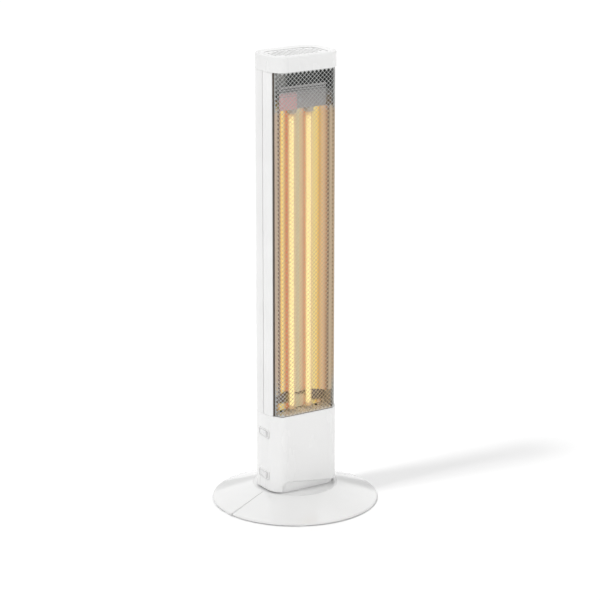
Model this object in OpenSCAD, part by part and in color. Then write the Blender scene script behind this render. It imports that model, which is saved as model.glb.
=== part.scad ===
// Oscillating radiant tower heater with two upright lamps on a round base.
// Millimetres. +Z is up, the front faces -Y and the origin lies on the floor
// under the swing axis.

/* [Base] */
// Diameter of the round base
base_d = 242; // [215:1:280]
// Height of the deck that the tower stands on
deck_z = 24; // [23:0.5:30]
// Height of the upright edge round the base
rim_h = 2.5; // [2.5:0.5:5]
// Wall of the base's dish
shell_t = 2.6; // [2:0.1:3.2]
// Angle of the seam between the base's halves, from -X towards the front
seam_angle = 8.5; // [0:0.5:20]
// Gap in that seam
seam_gap = 0.2; // [0.1:0.05:0.6]
// Thickness of the steel ballast plate
plate_t = 1.4; // [1:0.1:2]
// Gap between the ballast plate and the wall round it
plate_gap = 5.4; // [3:0.1:12]
// Set-back of the plate's screws from the base's edge
plate_screw_in = 32; // [28:1:38]

/* [Feet] */
// Number of rubber feet
foot_n = 6; // [4:1:8]
// Diameter of a foot
foot_d = 20; // [12:1:22]
// Height of a foot
foot_h = 2; // [2:0.5:5]
// Set-back of the feet from the base's edge
foot_in = 2; // [0:0.5:6]
// Angle of the first foot, from the front towards -X
foot_angle = 28; // [0:1:60]

/* [Swivel] */
// Diameter of the turning disc in the deck
disc_d = 122; // [112:1:136]
// Thickness of that disc
disc_t = 3; // [2.5:0.1:3.6]
// Gap round the disc
disc_gap = 0.4; // [0.3:0.05:1]
// Outer radius of the hub tube
hub_r = 18; // [15:0.5:20]
// Wall of the hub tube
hub_wall = 5; // [3.5:0.5:7]
// Radial wall of the socket round the hub
socket_wall = 6; // [4:0.5:7.5]
// Floor of the socket
floor_t = 2.5; // [2:0.1:3]
// Thrust washer under the disc
washer_t = 0.8; // [0.5:0.1:1.2]
// Retaining ring at the hub's foot
ring_t = 1.5; // [1:0.1:1.8]
// Half of the swing of the tower, in degrees
swing_half = 30; // [20:1:34]

/* [Swing drive] */
// Gap between the crank's arm and the socket
crank_gap = 2.8; // [1:0.1:4]
// Half width of the crank's arm
arm_r = 4.2; // [3.6:0.1:4.8]
// Radius of the crank's shaft
crank_shaft_r = 2; // [1.5:0.1:2.8]
// Thickness of the crank's arm
crank_t = 3; // [2:0.1:3.4]
// Radius of the roller on the crank's pin
roller_r = 3; // [2.6:0.1:3.5]
// Radius of the crank's pin
crank_pin_r = 1.5; // [1.2:0.1:1.8]
// Thickness of the slotted yoke
yoke_t = 2.5; // [1.5:0.1:2.8]
// Play between the roller and the yoke's slot
slot_play = 0.8; // [0.7:0.05:1]
// Gap between the swing motor and the neck
motor_gap = 0.8; // [0.3:0.1:4]
// Gap above the swing motor
motor_top = 1.5; // [0.5:0.1:4]

/* [Tilt switch] */
// Gap between the tilt switch and the socket's flange
tilt_gap = 3; // [1:0.5:6]
// Length of the tilt switch, from the axis outwards
tilt_l = 14; // [12:0.5:16]
// Width of the tilt switch
tilt_w = 10; // [9:0.5:12]
// Angle of the tilt switch, from the front towards -X
tilt_angle = 73; // [68:1:78]
// Radius of the plunger
plunger_r = 3; // [2:0.1:3.5]
// Travel of the plunger
plunger_travel = 4; // [2:0.5:4.5]

/* [Tower] */
// Height of the heater
total_h = 665; // [560:1:760]
// Width of the tower
tower_w = 113; // [102:0.5:116]
// Depth of the tower
tower_d = 74; // [70:1:82]
// Radius of the front corners in plan
front_r = 23; // [23:1:27]
// Radius of the back corners in plan
back_r = 31; // [27:1:33]
// Wall of the lower housing
wall = 2.5; // [2:0.1:2.8]
// Wall of the rear cover, the side trims and the cap
cover_t = 2.2; // [1.8:0.1:2.6]
// Height of the top of the lower housing
shelf_z = 141; // [136:1:170]
// Thickness of the shelf on the lower housing
shelf_t = 2.5; // [2:0.1:3.5]
// Height of the cap
cap_h = 22; // [18:1:28]
// Drop of the cap's rounded edge
cap_round = 7; // [5:0.5:9]
// Gap under the cap
cap_gap = 0.3; // [0.2:0.05:0.8]
// Set-back of the neck behind the housing
neck_inset = 5; // [4.6:0.1:6]
// Wall of the neck
neck_wall = 2.2; // [1.8:0.1:2.6]
// Height of the neck
neck_h = 19; // [17:0.5:24]
// Thickness of the flange on the neck
flange_t = 2.5; // [2:0.1:3]
// Gap between the deck and the lower housing
skirt_gap = 2; // [1:0.5:4]
// Depth coordinate of the groove along the sides, in front of the axis
groove_v = 4; // [2:0.5:6]
// Width of that groove
groove_w = 1.2; // [0.8:0.1:2]
// Set-back of the side trims' front edges from the tower's front
trim_set = 13; // [13:0.1:15.5]

/* [Foot cut in the front] */
// Left end of the cut, from the middle
cut_left = 44; // [38:1:46]
// Height of the cut at its left, from the housing's edge
cut_high = 15; // [12:0.5:15.5]
// Height of the cut at its right, from the housing's edge
cut_low = 4; // [2.5:0.5:8]
// Radius of the cut's corner
cut_r = 10; // [6:0.5:11]

/* [Grille] */
// Width of the grille's flanges
grille_lip = 4.7; // [3:0.1:7]
// Gap between a flange and the trim beside it
grille_gap = 0.8; // [0.3:0.1:2]
// Set-back of the grille's front from the tower's front
grille_set = 1.4; // [0:0.1:3]
// Bend radius of the basket
grille_r = 11; // [7:0.5:11.5]
// Thickness of the grille's sheet
grille_t = 0.8; // [0.6:0.1:1.2]
// Spacing of the openings across
mesh_x = 10.2; // [9.5:0.1:14]
// Spacing of the openings up
mesh_z = 20.4; // [18:0.1:30]
// Width of the bars between the openings
mesh_bar = 1.4; // [1:0.1:2.5]
// Plain edge round the openings
mesh_edge = 3; // [2:0.5:8]

/* [Lamps] */
// Distance of each lamp from the middle
lamp_x = 14.3; // [12.5:0.1:16]
// Distance of the lamps behind the grille's front
lamp_set = 22.1; // [20.5:0.1:23]
// Radius of the lamp tubes
lamp_r = 5; // [4:0.1:5.6]
// Wall of the lamp tubes
lamp_wall = 1; // [0.6:0.1:1.4]
// How far the tubes reach below the shelf
lamp_sink = 5; // [3:0.5:8]
// Distance of the tubes' upper ends from the cap
lamp_drop = 55; // [52:1:90]
// Radius of the ceramic end caps
end_cap_r = 7; // [6.6:0.1:7.8]
// Length of an end cap
end_cap_h = 22; // [18:1:24]
// Depth at which a tube sits in its cap
end_cap_depth = 8; // [5:0.5:12]

/* [Reflector] */
// Focal length of each trough
focal = 9; // [8.2:0.1:9.8]
// Height of the reflector's lower edge above the shelf
mirror_rise = 30; // [8:1:60]
// Distance of the reflector's upper edge from the cap
mirror_drop = 53; // [50:1:100]
// Thickness of the reflector, the heat shield and the brackets
sheet_t = 1; // [0.8:0.1:1.2]
// Gap between the reflector and the heat shield
shield_gap = 3.5; // [2:0.1:5]

/* [Small pieces] */
// Height of the cord's bushing in the back
gland_z = 66; // [60:1:110]
// Radius of that bushing
gland_r = 6; // [5:0.5:8]
// Width of the plate that carries the bushing
cord_plate_w = 32; // [26:1:36]
// Height of that plate
cord_plate_h = 28; // [22:1:34]
// Thickness of that plate's flange inside the wall
cord_flange_t = 1.5; // [1:0.1:2]
// Radius of the bushing's bore
gland_bore = 3.8; // [2.5:0.1:4.2]
// Width of the air slots in the back
vent_w = 44; // [30:1:48]
// Number of air slots in each group
vent_n = 9; // [4:1:14]
// Spacing of the air slots
vent_pitch = 8; // [6:0.5:12]
// Height of an air slot
vent_h = 3; // [2:0.1:4]
// Distance of each group of slots from the cover's end
vent_end = 32; // [20:1:60]
// Set-back of the opening in the cap
vent_in = 12; // [10:0.5:15]
// Thickness of the cap's top
cap_skin = 2.2; // [1.6:0.1:2.6]
// Thickness of the vent plate under the cap
vent_t = 1.8; // [1.2:0.1:2.2]
// Spacing of the slots in the vent plate
slat_pitch = 6.2; // [5:0.1:9]
// Width of the slots in the vent plate
slat_gap = 2.6; // [2:0.1:3.5]
// Set-back of the terminal block's middle from the tower's back
block_set = 25; // [22:1:27]
// Width of the terminal block
block_w = 48; // [40:1:54]
// Depth of the terminal block
block_d = 18; // [14:0.5:20]
// Height of the terminal block
block_h = 13; // [10:0.5:14]
// Radius of the thermal cut-out
cutout_r = 8; // [6:0.1:8.4]
// Height of the thermal cut-out
cutout_h = 9; // [7:0.5:12]

/* [Switches] */
// Height of the lower switch's middle above the neck
switch_rise = 6.5; // [6.5:0.5:14]
// Distance between the two switches
switch_pitch = 63; // [40:1:68]
// Gap between the switches and the screw boss in front of them
switch_gap = 0.95; // [0.5:0.05:4]
// Length of a rocker
rocker_l = 20.4; // [17:0.1:22.6]
// Height of a rocker
rocker_h = 8.2; // [7:0.1:9.4]
// Tilt of a rocker at rest
rocker_tilt = 9; // [6:0.5:10]
// Width of the bezel beyond a rocker's ends
bezel_end = 3.3; // [2.8:0.1:4.4]
// Width of the bezel beyond a rocker's sides
bezel_side = 1.8; // [1.6:0.1:3]
// How far the bezel stands out
bezel_t = 1.5; // [1:0.1:2.5]
// Depth of a switch behind the wall's outside
body_depth = 18; // [14:0.5:20]

/* [Screws] */
// Radius of a screw's shank
screw_r = 1.4; // [1:0.1:1.6]
// Radius of a screw's head
screw_head_r = 3; // [2.6:0.1:3.3]
// Height of a screw's head
screw_head_h = 1.6; // [1.2:0.1:1.8]
// Radius of a screw boss
boss_r = 4; // [3.4:0.1:4.4]
// Grip of the screws in the base
base_grip = 5; // [4:0.5:6]
// Grip of the screws in the neck
neck_grip = 6; // [5:0.5:8]
// Grip of the screws in the rear cover
cover_grip = 8; // [6:0.5:10]
// Grip of the screws in the lower housing
housing_grip = 9; // [7:0.5:12]
// Height of the screw bosses in the lower housing
boss_h = 17; // [14:0.5:20]

/* [Fits] */
// Radial clearance of a running fit
run_fit = 0.06; // [0.03:0.01:0.09]
// Clearance between pieces that don't turn in each other
fit_gap = 0.1; // [0.05:0.01:0.2]
// Clearance round a piece that moves
move_gap = 0.3; // [0.2:0.05:0.4]

/* [Hidden] */
$fn = 48;
far = 2 * total_h;
eps = 0.01;
fine = 96;

// Heights in the base, from the floor up
plate_top = foot_h + plate_t;
hub_foot = plate_top + 0.8;
ring_z = hub_foot + 0.9;
floor_z = ring_z + ring_t + 0.2;
floor_top = floor_z + floor_t;
disc_z = deck_z - disc_t;
boss_top = disc_z - washer_t;
rim_top = foot_h + rim_h;
roller_z = floor_top + 0.5;
crank_z = floor_top + yoke_t + 1.5;

// Radii in the base
base_r = base_d / 2;
rim_edge = 1;
plate_r = base_r - shell_t - plate_gap;
plate_screw_r = base_r - plate_screw_in;
foot_ring_r = base_r - foot_d / 2 - foot_in;
disc_r = disc_d / 2;
open_r = disc_r + disc_gap;
collar_t = 2.6;
flange_screw_r = open_r + collar_t + 2;
flange_r = flange_screw_r + boss_r;
socket_r = hub_r + socket_wall;
cone_slope = (deck_z - rim_top) / (base_r - rim_edge - open_r);
shell_v = shell_t / cos(atan(cone_slope));
groove_depth = 1.4;
ring_out = 3.5;

// Screws and their pilot holes
pilot_r = screw_r + fit_gap;
hole_r = screw_r + 2 * fit_gap;
pilot_spare = 1;

// Crank: its pin stays near the middle of the slot when it turns three times as far as the tower.
// The throw is a little under the full one, which halves the pin's greatest error.
crank_x = socket_r + arm_r + crank_gap;
crank_throw = crank_x * tan(swing_half) * 0.958;
slot_r = roller_r + slot_play;
slot_in = norm([crank_x, crank_throw]) - 1.5;
slot_out = crank_x + crank_throw + 0.8;
yoke_edge = 2.5;
yoke_screw_x = slot_in - 1;
yoke_screw_y = slot_r + hole_r + 1.6;
yoke_hw = yoke_screw_y + screw_head_r;
shaft_reach = 9;

// Tilt switch
tilt_r = flange_r + tilt_gap + tilt_l / 2;
tilt_lift = 0.3;
plunger_top = plate_top + plunger_travel + 1.3;
tilt_wall = 1.1;

// Tower
hw = tower_w / 2;
hd = tower_d / 2;
neck_z = deck_z + neck_h;
housing_z = deck_z + skirt_gap;
cap_z = total_h - cap_h;
cover_z0 = shelf_z;
cover_z1 = cap_z - cap_gap;
cover_h = cover_z1 - cover_z0;
trim_v = hd - trim_set;
neck_in = neck_inset + neck_wall;
boss_in = neck_in + screw_head_r + 1.3;
flange_in = boss_in + screw_head_r + 1.5;
front_boss = front_corner(boss_in);
back_boss = back_corner(boss_in);
cover_in = wall + screw_head_r + 0.4;
cover_boss = back_corner(cover_in);
cover_boss_r = cover_in + 0.5 - cover_t;
neck_boss = [18, hd - neck_in - 2];
rib_t = 2;
motor_r = hw - neck_in - crank_x - motor_gap;
motor_h = neck_h - flange_t - motor_top;
lip_t = 1.7;
lip_reach = 4;
vent_group = (vent_n - 1) * vent_pitch + vent_h;

// Sheet metal and lamps inside the tower
grille_v = hd - grille_set;
lamp_v = grille_v - lamp_set;
lamp_y = -lamp_v;
trim_inner = hw - front_r + sqrt(pow(front_r - cover_t, 2) - pow(trim_v - hd + front_r, 2));
grille_flange = trim_inner - grille_gap;
grille_hw = grille_flange - grille_lip;
flat_hw = grille_hw - grille_r;
mirror_y = -trim_v + grille_t + fit_gap;
trough_y = lamp_y + focal;
trough_x = lamp_x + sqrt(4 * focal * (trough_y - mirror_y));
mirror_z0 = shelf_z + mirror_rise;
mirror_z1 = cap_z - mirror_drop;
wing_x = grille_hw + 2.4;
shield_y = trough_y + sheet_t + shield_gap;
lamp_z0 = shelf_z - lamp_sink;
lamp_z1 = cap_z - lamp_drop;
tube_end = 2;
bracket_z = lamp_z1 + end_cap_h - end_cap_depth;
low_cap_z = lamp_z0 - end_cap_h + end_cap_depth;
bracket_lip = 2;
leg_x = lamp_x + end_cap_r + 5;
bar_y = -trim_v + 2.5;
bar_h = 11;
cutout_y = shield_y - cutout_r - 1.5;

// Terminal block and leads
block_y = hd - block_set;
bridge_w = 16;
bridge_t = 3;
lead_r = 1.2;
lead_bend_r = 1.2 * lead_r;
lead_hole_r = 3;
lead_z = bracket_z + sheet_t + cutout_h + 10;
lead_x = block_w / 4;
lead_slot = [block_w - 8, block_d];

// Cord bushing and its plate
gland_lip = 2;
cord_flange = 2;
cord_back = wall + fit_gap + cord_flange_t;

// Switches
switch_low = neck_z + switch_rise;
switch_high = switch_low + switch_pitch;
bezel_l = rocker_l + 2 * bezel_end;
bezel_h = rocker_h + 2 * bezel_side;
window_l = rocker_l + 2.2;
window_h = rocker_h + 2 * move_gap;
body_wall = 0.8;
body_l = window_l + 2 * body_wall;
switch_v = -front_boss[1] - boss_r - switch_gap - body_l / 2;
body_h = window_h + 2 * body_wall;
body_in = -hw + body_depth;
pivot_in = 2.5;
pivot_x = -hw + pivot_in;
well_in = 6;
pin_r = 1.2;
barrel_r = 3.2;
blade = [6, 0.8, 4.8];

// Height of the dish's top surface at a radius
function cone_z(r) = deck_z - (r - open_r) * cone_slope;

// Points at 45 degrees in the plan's right corners, drawn in by a given distance
function front_corner(inset) = let (r = (front_r - inset) * cos(45))
    [hw - front_r + r, -hd + front_r - r];
function back_corner(inset) = let (r = (back_r - inset) * cos(45))
    [hw - back_r + r, hd - back_r + r];

// Angles of the screws that hold the base together, from the front towards -X.
// Those in the flange keep 30 degrees from the seam.
function flange_angles() = [for (k = [0 : 5]) 60 * k - 60 - seam_angle];
function plate_angles() = [for (k = [0 : 5]) 60 * k + 58];

// Plan of the tower, drawn in by a given distance: every arc is a true circle
module plan(inset = 0) {
    w = hw - inset;
    d = hd - inset;
    f = front_r - inset;
    b = back_r - inset;
    polygon([[-w, -d + f], [-w + f, -d], [w - f, -d], [w, -d + f],
             [w, d - b], [w - b, d], [-w + b, d], [-w, d - b]]);
    for (s = [-1, 1]) {
        translate([s * (w - f), -d + f]) circle(f);
        translate([s * (w - b), d - b]) circle(b);
    }
}

// Band between two drawn-in plans
module band(outer, inner) {
    difference() {
        plan(outer);
        plan(inner);
    }
}

// Part of a band between two depth coordinates, on the side s
module side_band(outer, inner, y0, y1, s) {
    intersection() {
        band(outer, inner);
        translate([s > 0 ? 0 : -far, y0]) square([far, y1 - y0]);
    }
}

module at_polar(r, a) {
    rotate(a) translate([0, -r, 0]) children();
}

// Screw with its head below: the head's top lies at z 0
module screw(len) {
    translate([0, 0, -screw_head_h]) cylinder(r = screw_head_r, h = screw_head_h);
    translate([0, 0, -eps]) cylinder(r = screw_r, h = len + eps);
}

// Hole for a screw's thread, from z 0 up
module pilot(grip) {
    translate([0, 0, -eps]) cylinder(r = pilot_r, h = grip + pilot_spare + eps);
}

// Dish of the base: a cone with an upright rim, an inner collar and screw bosses
module base_dish() {
    difference() {
        union() {
            rotate_extrude($fn = fine) polygon([
                [open_r, deck_z], [base_r - rim_edge, rim_top], [base_r, rim_top - rim_edge],
                [base_r, foot_h], [base_r - shell_t, foot_h],
                [base_r - shell_t, cone_z(base_r - shell_t) - shell_v],
                [open_r + collar_t, cone_z(open_r + collar_t) - shell_v],
                [open_r + collar_t, floor_top], [open_r, floor_top]
            ]);
            for (a = flange_angles()) at_polar(flange_screw_r, -a)
                dish_boss(boss_r - 0.6, floor_top, cone_z(flange_screw_r + boss_r));
            for (a = plate_angles()) at_polar(plate_screw_r, -a)
                dish_boss(boss_r, plate_top, cone_z(plate_screw_r + boss_r));
        }
        cylinder(r = open_r, h = far);
        for (a = flange_angles()) at_polar(flange_screw_r, -a)
            translate([0, 0, floor_top]) pilot(base_grip);
        for (a = plate_angles()) at_polar(plate_screw_r, -a)
            translate([0, 0, plate_top]) pilot(base_grip);
    }
}

// Screw boss from the height z0 up into the dish's wall, whose top is at z1
module dish_boss(r, z0, z1) {
    translate([0, 0, z0]) cylinder(r = r, h = z1 - 0.4 - z0);
}

module half_space(front) {
    rotate(seam_angle) translate([-far, front ? -far - seam_gap / 2 : seam_gap / 2, -eps])
        cube([2 * far, far, 2 * deck_z]);
}

module base_front_half() {
    color("white") intersection() {
        base_dish();
        half_space(true);
    }
}

module base_rear_half() {
    color("whitesmoke") intersection() {
        base_dish();
        half_space(false);
    }
}

module ballast_plate() {
    color("dimgray") difference() {
        translate([0, 0, foot_h]) cylinder(r = plate_r, h = plate_t, $fn = fine);
        for (a = plate_angles()) at_polar(plate_screw_r, -a) cylinder(r = hole_r, h = far);
        at_polar(tilt_r, -tilt_angle) cylinder(r = plunger_r + 1, h = far);
    }
}

module rubber_feet() {
    color("gray") for (k = [0 : foot_n - 1])
        at_polar(foot_ring_r, -foot_angle - k * 360 / foot_n) cylinder(d = foot_d, h = foot_h);
}

module base_screws() {
    color("silver") {
        for (a = flange_angles()) at_polar(flange_screw_r, -a)
            translate([0, 0, floor_z]) screw(floor_t + base_grip);
        for (a = plate_angles()) at_polar(plate_screw_r, -a)
            translate([0, 0, foot_h]) screw(plate_t + base_grip);
        for (s = [-1, 1]) translate([yoke_screw_x, s * yoke_screw_y, floor_z])
            screw(floor_t + yoke_t);
    }
}

// Floor plate with the boss that the hub turns in
module swivel_socket() {
    color("gainsboro") difference() {
        union() {
            translate([0, 0, floor_z]) cylinder(r = flange_r, h = floor_t, $fn = fine);
            translate([0, 0, floor_z]) cylinder(r = socket_r, h = boss_top - floor_z);
        }
        cylinder(r = hub_r + run_fit, h = far);
        for (a = flange_angles()) at_polar(flange_screw_r, -a) cylinder(r = hole_r, h = far);
        for (s = [-1, 1]) translate([yoke_screw_x, s * yoke_screw_y, 0]) cylinder(r = hole_r, h = far);
    }
}

// Fork with the slot that the crank's roller runs in
module drive_yoke() {
    x0 = slot_in - slot_r - yoke_edge;
    x1 = slot_out + slot_r + yoke_edge;
    color("slategray") translate([0, 0, floor_top]) linear_extrude(yoke_t) difference() {
        translate([x0, -yoke_hw]) square([x1 - x0, 2 * yoke_hw]);
        translate([slot_in, -slot_r]) square([slot_out - slot_in, 2 * slot_r]);
        for (x = [slot_in, slot_out]) translate([x, 0]) circle(slot_r);
        for (s = [-1, 1]) translate([yoke_screw_x, s * yoke_screw_y]) circle(hole_r);
        circle(socket_r + 0.5);
    }
}

module tilt_switch() {
    color("black") at_polar(tilt_r, -tilt_angle) difference() {
        translate([-tilt_w / 2, -tilt_l / 2, plate_top])
            cube([tilt_w, tilt_l, plunger_top + tilt_wall - plate_top]);
        translate([0, 0, plate_top - eps])
            cylinder(r = plunger_r + run_fit, h = plunger_top + tilt_wall / 2 - plate_top);
    }
}

// Floor-sensing plunger, held up by the floor when the heater stands
module tilt_plunger() {
    color("red") at_polar(tilt_r, -tilt_angle)
        translate([0, 0, tilt_lift]) cylinder(r = plunger_r, h = plunger_top - tilt_lift);
}

module turntable() {
    color("white") difference() {
        union() {
            translate([0, 0, disc_z]) cylinder(r = disc_r, h = disc_t, $fn = fine);
            translate([0, 0, hub_foot]) cylinder(r = hub_r, h = disc_z - hub_foot + eps);
        }
        cylinder(r = hub_r - hub_wall, h = far);
        translate([0, 0, ring_z]) difference() {
            cylinder(r = hub_r + 1, h = ring_t + fit_gap);
            cylinder(r = hub_r - groove_depth, h = far);
        }
        translate([crank_x, 0, 0]) cylinder(r = crank_shaft_r + 3, h = far);
        for (sx = [-1, 1], sy = [-1, 1])
            translate([sx * neck_boss[0], sy * neck_boss[1], 0]) cylinder(r = hole_r, h = far);
    }
}

module thrust_washer() {
    color("tan") translate([0, 0, boss_top]) difference() {
        cylinder(r = socket_r, h = washer_t);
        translate([0, 0, -eps]) cylinder(r = hub_r + run_fit, h = far);
    }
}

// Snap ring in the hub's groove, with the gap that it is spread at
module retaining_ring() {
    opening = 5;
    color("darkgray") translate([0, 0, ring_z + fit_gap / 2]) difference() {
        cylinder(r = hub_r + ring_out, h = ring_t);
        translate([0, 0, -eps]) cylinder(r = hub_r - groove_depth + run_fit, h = far);
        translate([-opening / 2, 0, -eps]) cube([opening, far, far]);
    }
}

// Set-back foot of the tower, with a flange that carries the housing
module neck() {
    color("whitesmoke") difference() {
        union() {
            translate([0, 0, deck_z]) linear_extrude(neck_h) band(neck_inset, neck_in);
            translate([0, 0, neck_z - flange_t]) linear_extrude(flange_t) band(wall + move_gap, flange_in);
            for (sx = [-1, 1], sy = [-1, 1])
                translate([sx * neck_boss[0], sy * neck_boss[1], deck_z])
                cylinder(r = boss_r, h = neck_grip + 4);
        }
        for (sx = [-1, 1], sy = [-1, 1])
            translate([sx * neck_boss[0], sy * neck_boss[1], deck_z]) pilot(neck_grip);
        for (s = [-1, 1], p = [front_boss, back_boss])
            translate([s * p[0], p[1], neck_z - flange_t - eps]) cylinder(r = hole_r, h = far);
    }
}

module swing_motor() {
    color("silver") translate([crank_x, 0, deck_z]) difference() {
        cylinder(r = motor_r, h = motor_h);
        translate([0, 0, -eps]) cylinder(r = crank_shaft_r + run_fit, h = shaft_reach + 1);
    }
}

// Crank with its shaft and the pin for the roller
module crank_arm() {
    color("gold") translate([crank_x, 0, crank_z]) {
        linear_extrude(crank_t) {
            circle(arm_r);
            translate([0, -arm_r]) square([crank_throw, 2 * arm_r]);
            translate([crank_throw, 0]) circle(arm_r);
        }
        cylinder(r = crank_shaft_r, h = deck_z + shaft_reach - crank_z);
        translate([crank_throw, 0, roller_z - crank_z])
            cylinder(r = crank_pin_r, h = crank_z - roller_z + eps);
    }
}

module crank_roller() {
    color("white") translate([crank_x + crank_throw, 0, roller_z]) difference() {
        cylinder(r = roller_r, h = crank_z - roller_z - 2 * fit_gap);
        translate([0, 0, -eps]) cylinder(r = crank_pin_r + run_fit, h = far);
    }
}

// Window of a switch through the left wall
module switch_window(z) {
    translate([-hw - 2, -switch_v - body_l / 2 - fit_gap, z - body_h / 2 - fit_gap])
        cube([wall + 6, body_l + 2 * fit_gap, body_h + 2 * fit_gap]);
}

// Lower housing: a ring-shaped wall, the shelf above it and the swept cut over the deck
module lower_housing() {
    color("white") difference() {
        union() {
            translate([0, 0, housing_z]) linear_extrude(shelf_z - housing_z) band(0, wall);
            translate([0, 0, shelf_z - shelf_t]) linear_extrude(shelf_t) plan(wall / 2);
            for (s = [-1, 1], p = [front_boss, back_boss]) translate([s * p[0], p[1], neck_z]) {
                cylinder(r = boss_r, h = boss_h);
                rotate(45 * s * sign(p[1]) + (s < 0 ? 180 : 0))
                    translate([0, -rib_t / 2, 0]) cube([boss_in - wall / 2, rib_t, boss_h]);
            }
        }
        for (s = [-1, 1], p = [front_boss, back_boss])
            translate([s * p[0], p[1], neck_z]) pilot(housing_grip);
        translate([0, 0, shelf_z - shelf_t - eps]) {
            for (s = [-1, 1]) translate([s * cover_boss[0], cover_boss[1], 0])
                cylinder(r = hole_r, h = far);
            for (s = [-1, 1]) translate([s * lamp_x, lamp_y, 0])
                cylinder(r = end_cap_r + 0.5, h = far);
            translate([-lead_slot[0] / 2, block_y - 4, 0]) cube([lead_slot[0], lead_slot[1], far]);
        }
        for (z = [switch_high, switch_low]) switch_window(z);
        translate([-cord_plate_w / 2, hd - 2 * wall, gland_z - cord_plate_h / 2])
            cube([cord_plate_w, far, cord_plate_h]);
        translate([0, -groove_v - 8, 0]) rotate([90, 0, 0]) linear_extrude(far) foot_cut();
    }
}

// Outline of the cut over the deck: steep at its left, falling gently to its right
module foot_cut() {
    top = housing_z + cut_high;
    right = housing_z + cut_low;
    polygon([
        [-cut_left, 0], [-cut_left, housing_z],
        for (k = [0 : 6]) let (a = 180 - 15 * k)
            [-cut_left + cut_r * (1 + cos(a)), top - cut_r * (1 - sin(a))],
        [hw - 9, right], [hw - 4, right - 1.5], [hw + 2, housing_z], [hw + 2, 0]
    ]);
}

// Rear cover: the back of the tower, with air slots low and high
module rear_cover() {
    color("whitesmoke") difference() {
        translate([0, 0, cover_z0]) {
            linear_extrude(cover_h) intersection() {
                band(0, cover_t);
                translate([-far, -groove_v + groove_w / 2]) square([2 * far, far]);
            }
            for (s = [-1, 1]) translate([s * cover_boss[0], cover_boss[1], 0])
                cylinder(r = cover_boss_r, h = cover_grip + 6);
        }
        for (s = [-1, 1]) translate([s * cover_boss[0], cover_boss[1], cover_z0]) pilot(cover_grip);
        for (z0 = [cover_z0 + vent_end, cover_z1 - vent_end - vent_group], k = [0 : vent_n - 1])
            translate([-vent_w / 2, hd - cover_t - 2, z0 + vent_pitch * k]) cube([vent_w, far, vent_h]);
    }
}

// Side trim: a curved strip with a lip that reaches behind the rear cover
module side_trim(s) {
    y0 = -trim_v;
    y1 = -groove_v - groove_w / 2;
    lip_in = cover_t + lip_t;
    translate([0, 0, cover_z0]) linear_extrude(cover_h) {
        side_band(0, cover_t, y0, y1, s);
        side_band(cover_t - 0.3, lip_in, y1 - lip_reach, y1, s);
        side_band(cover_t + fit_gap, lip_in, y1 - lip_reach, lip_reach, s);
    }
}

module left_side_trim() {
    color("white") side_trim(-1);
}

module right_side_trim() {
    color("white") side_trim(1);
}

// Cap: a rounded lid with an oval opening for the vent plate
module top_cap() {
    color("white") difference() {
        hull() {
            translate([0, 0, cap_z]) linear_extrude(cap_h - cap_round) plan();
            for (a = [30, 60, 90]) translate([0, 0, total_h - cap_round * (1 - sin(a)) - eps])
                linear_extrude(eps) plan(cap_round * (1 - cos(a)), $fn = 32);
        }
        translate([0, 0, cap_z - eps]) linear_extrude(cap_h - cap_round - 0.5 + eps) plan(cover_t);
        translate([0, 0, cap_z - eps]) linear_extrude(cap_h - cap_skin + eps) plan(cap_round + 1);
        translate([0, 0, cap_z]) linear_extrude(far) plan(vent_in);
    }
}

// Slotted plate sunk in the cap
module top_vent() {
    margin = 6;
    n = floor((hw - vent_in - margin) / slat_pitch);
    color("gray") translate([0, 0, total_h - cap_skin - fit_gap - vent_t]) linear_extrude(vent_t)
        difference() {
            plan(cap_round + 1 + 2 * fit_gap);
            for (k = [-n : n]) {
                reach = hd - vent_in - margin - (abs(k) > n - 2 ? 7 : 0);
                translate([k * slat_pitch - slat_gap / 2, -reach]) square([slat_gap, 2 * reach]);
            }
        }
}

// Outline of the basket: a flat front with two round bends
module basket(w, v, r) {
    polygon([[-w, 0], [-w, -v + r], [-w + r, -v], [w - r, -v], [w, -v + r], [w, 0]]);
    for (s = [-1, 1]) translate([s * (w - r), -v + r]) circle(r);
}

// Flat sheet with staggered diamond openings, drawn upright
module mesh_sheet(w, h) {
    nx = floor((w - mesh_x - 2) / mesh_x / 2);
    nz = floor((h - mesh_z - 2 * mesh_edge) / mesh_z / 2);
    dx = (mesh_x - mesh_bar) / 2;
    dz = mesh_z / 2 - mesh_bar;
    difference() {
        translate([-w / 2, -h / 2]) square([w, h]);
        for (i = [-nx : nx], k = [-nz : nz]) translate([i * mesh_x, k * mesh_z]) diamond(dx, dz);
        for (i = [-nx : nx - 1], k = [-nz : nz - 1])
            translate([(i + 0.5) * mesh_x, (k + 0.5) * mesh_z]) diamond(dx, dz);
    }
}

module diamond(dx, dz) {
    polygon([[-dx, 0], [0, -dz], [dx, 0], [0, dz]]);
}

module front_grille() {
    color("gray") {
        translate([0, 0, cover_z0]) linear_extrude(cover_h) {
            difference() {
                basket(grille_hw, grille_v, grille_r);
                basket(grille_hw - grille_t, grille_v - grille_t, grille_r - grille_t);
                translate([-far, -trim_v + grille_t]) square(2 * far);
                translate([-flat_hw, -far]) square([2 * flat_hw, far]);
            }
            for (s = [-1, 1])
                translate([s > 0 ? grille_hw - grille_t : -grille_flange, -trim_v])
                square([grille_lip + grille_t, grille_t]);
        }
        translate([0, -grille_v + grille_t, (cover_z0 + cover_z1) / 2]) rotate([90, 0, 0])
            linear_extrude(grille_t) mesh_sheet(2 * flat_hw, cover_h);
    }
}

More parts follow.
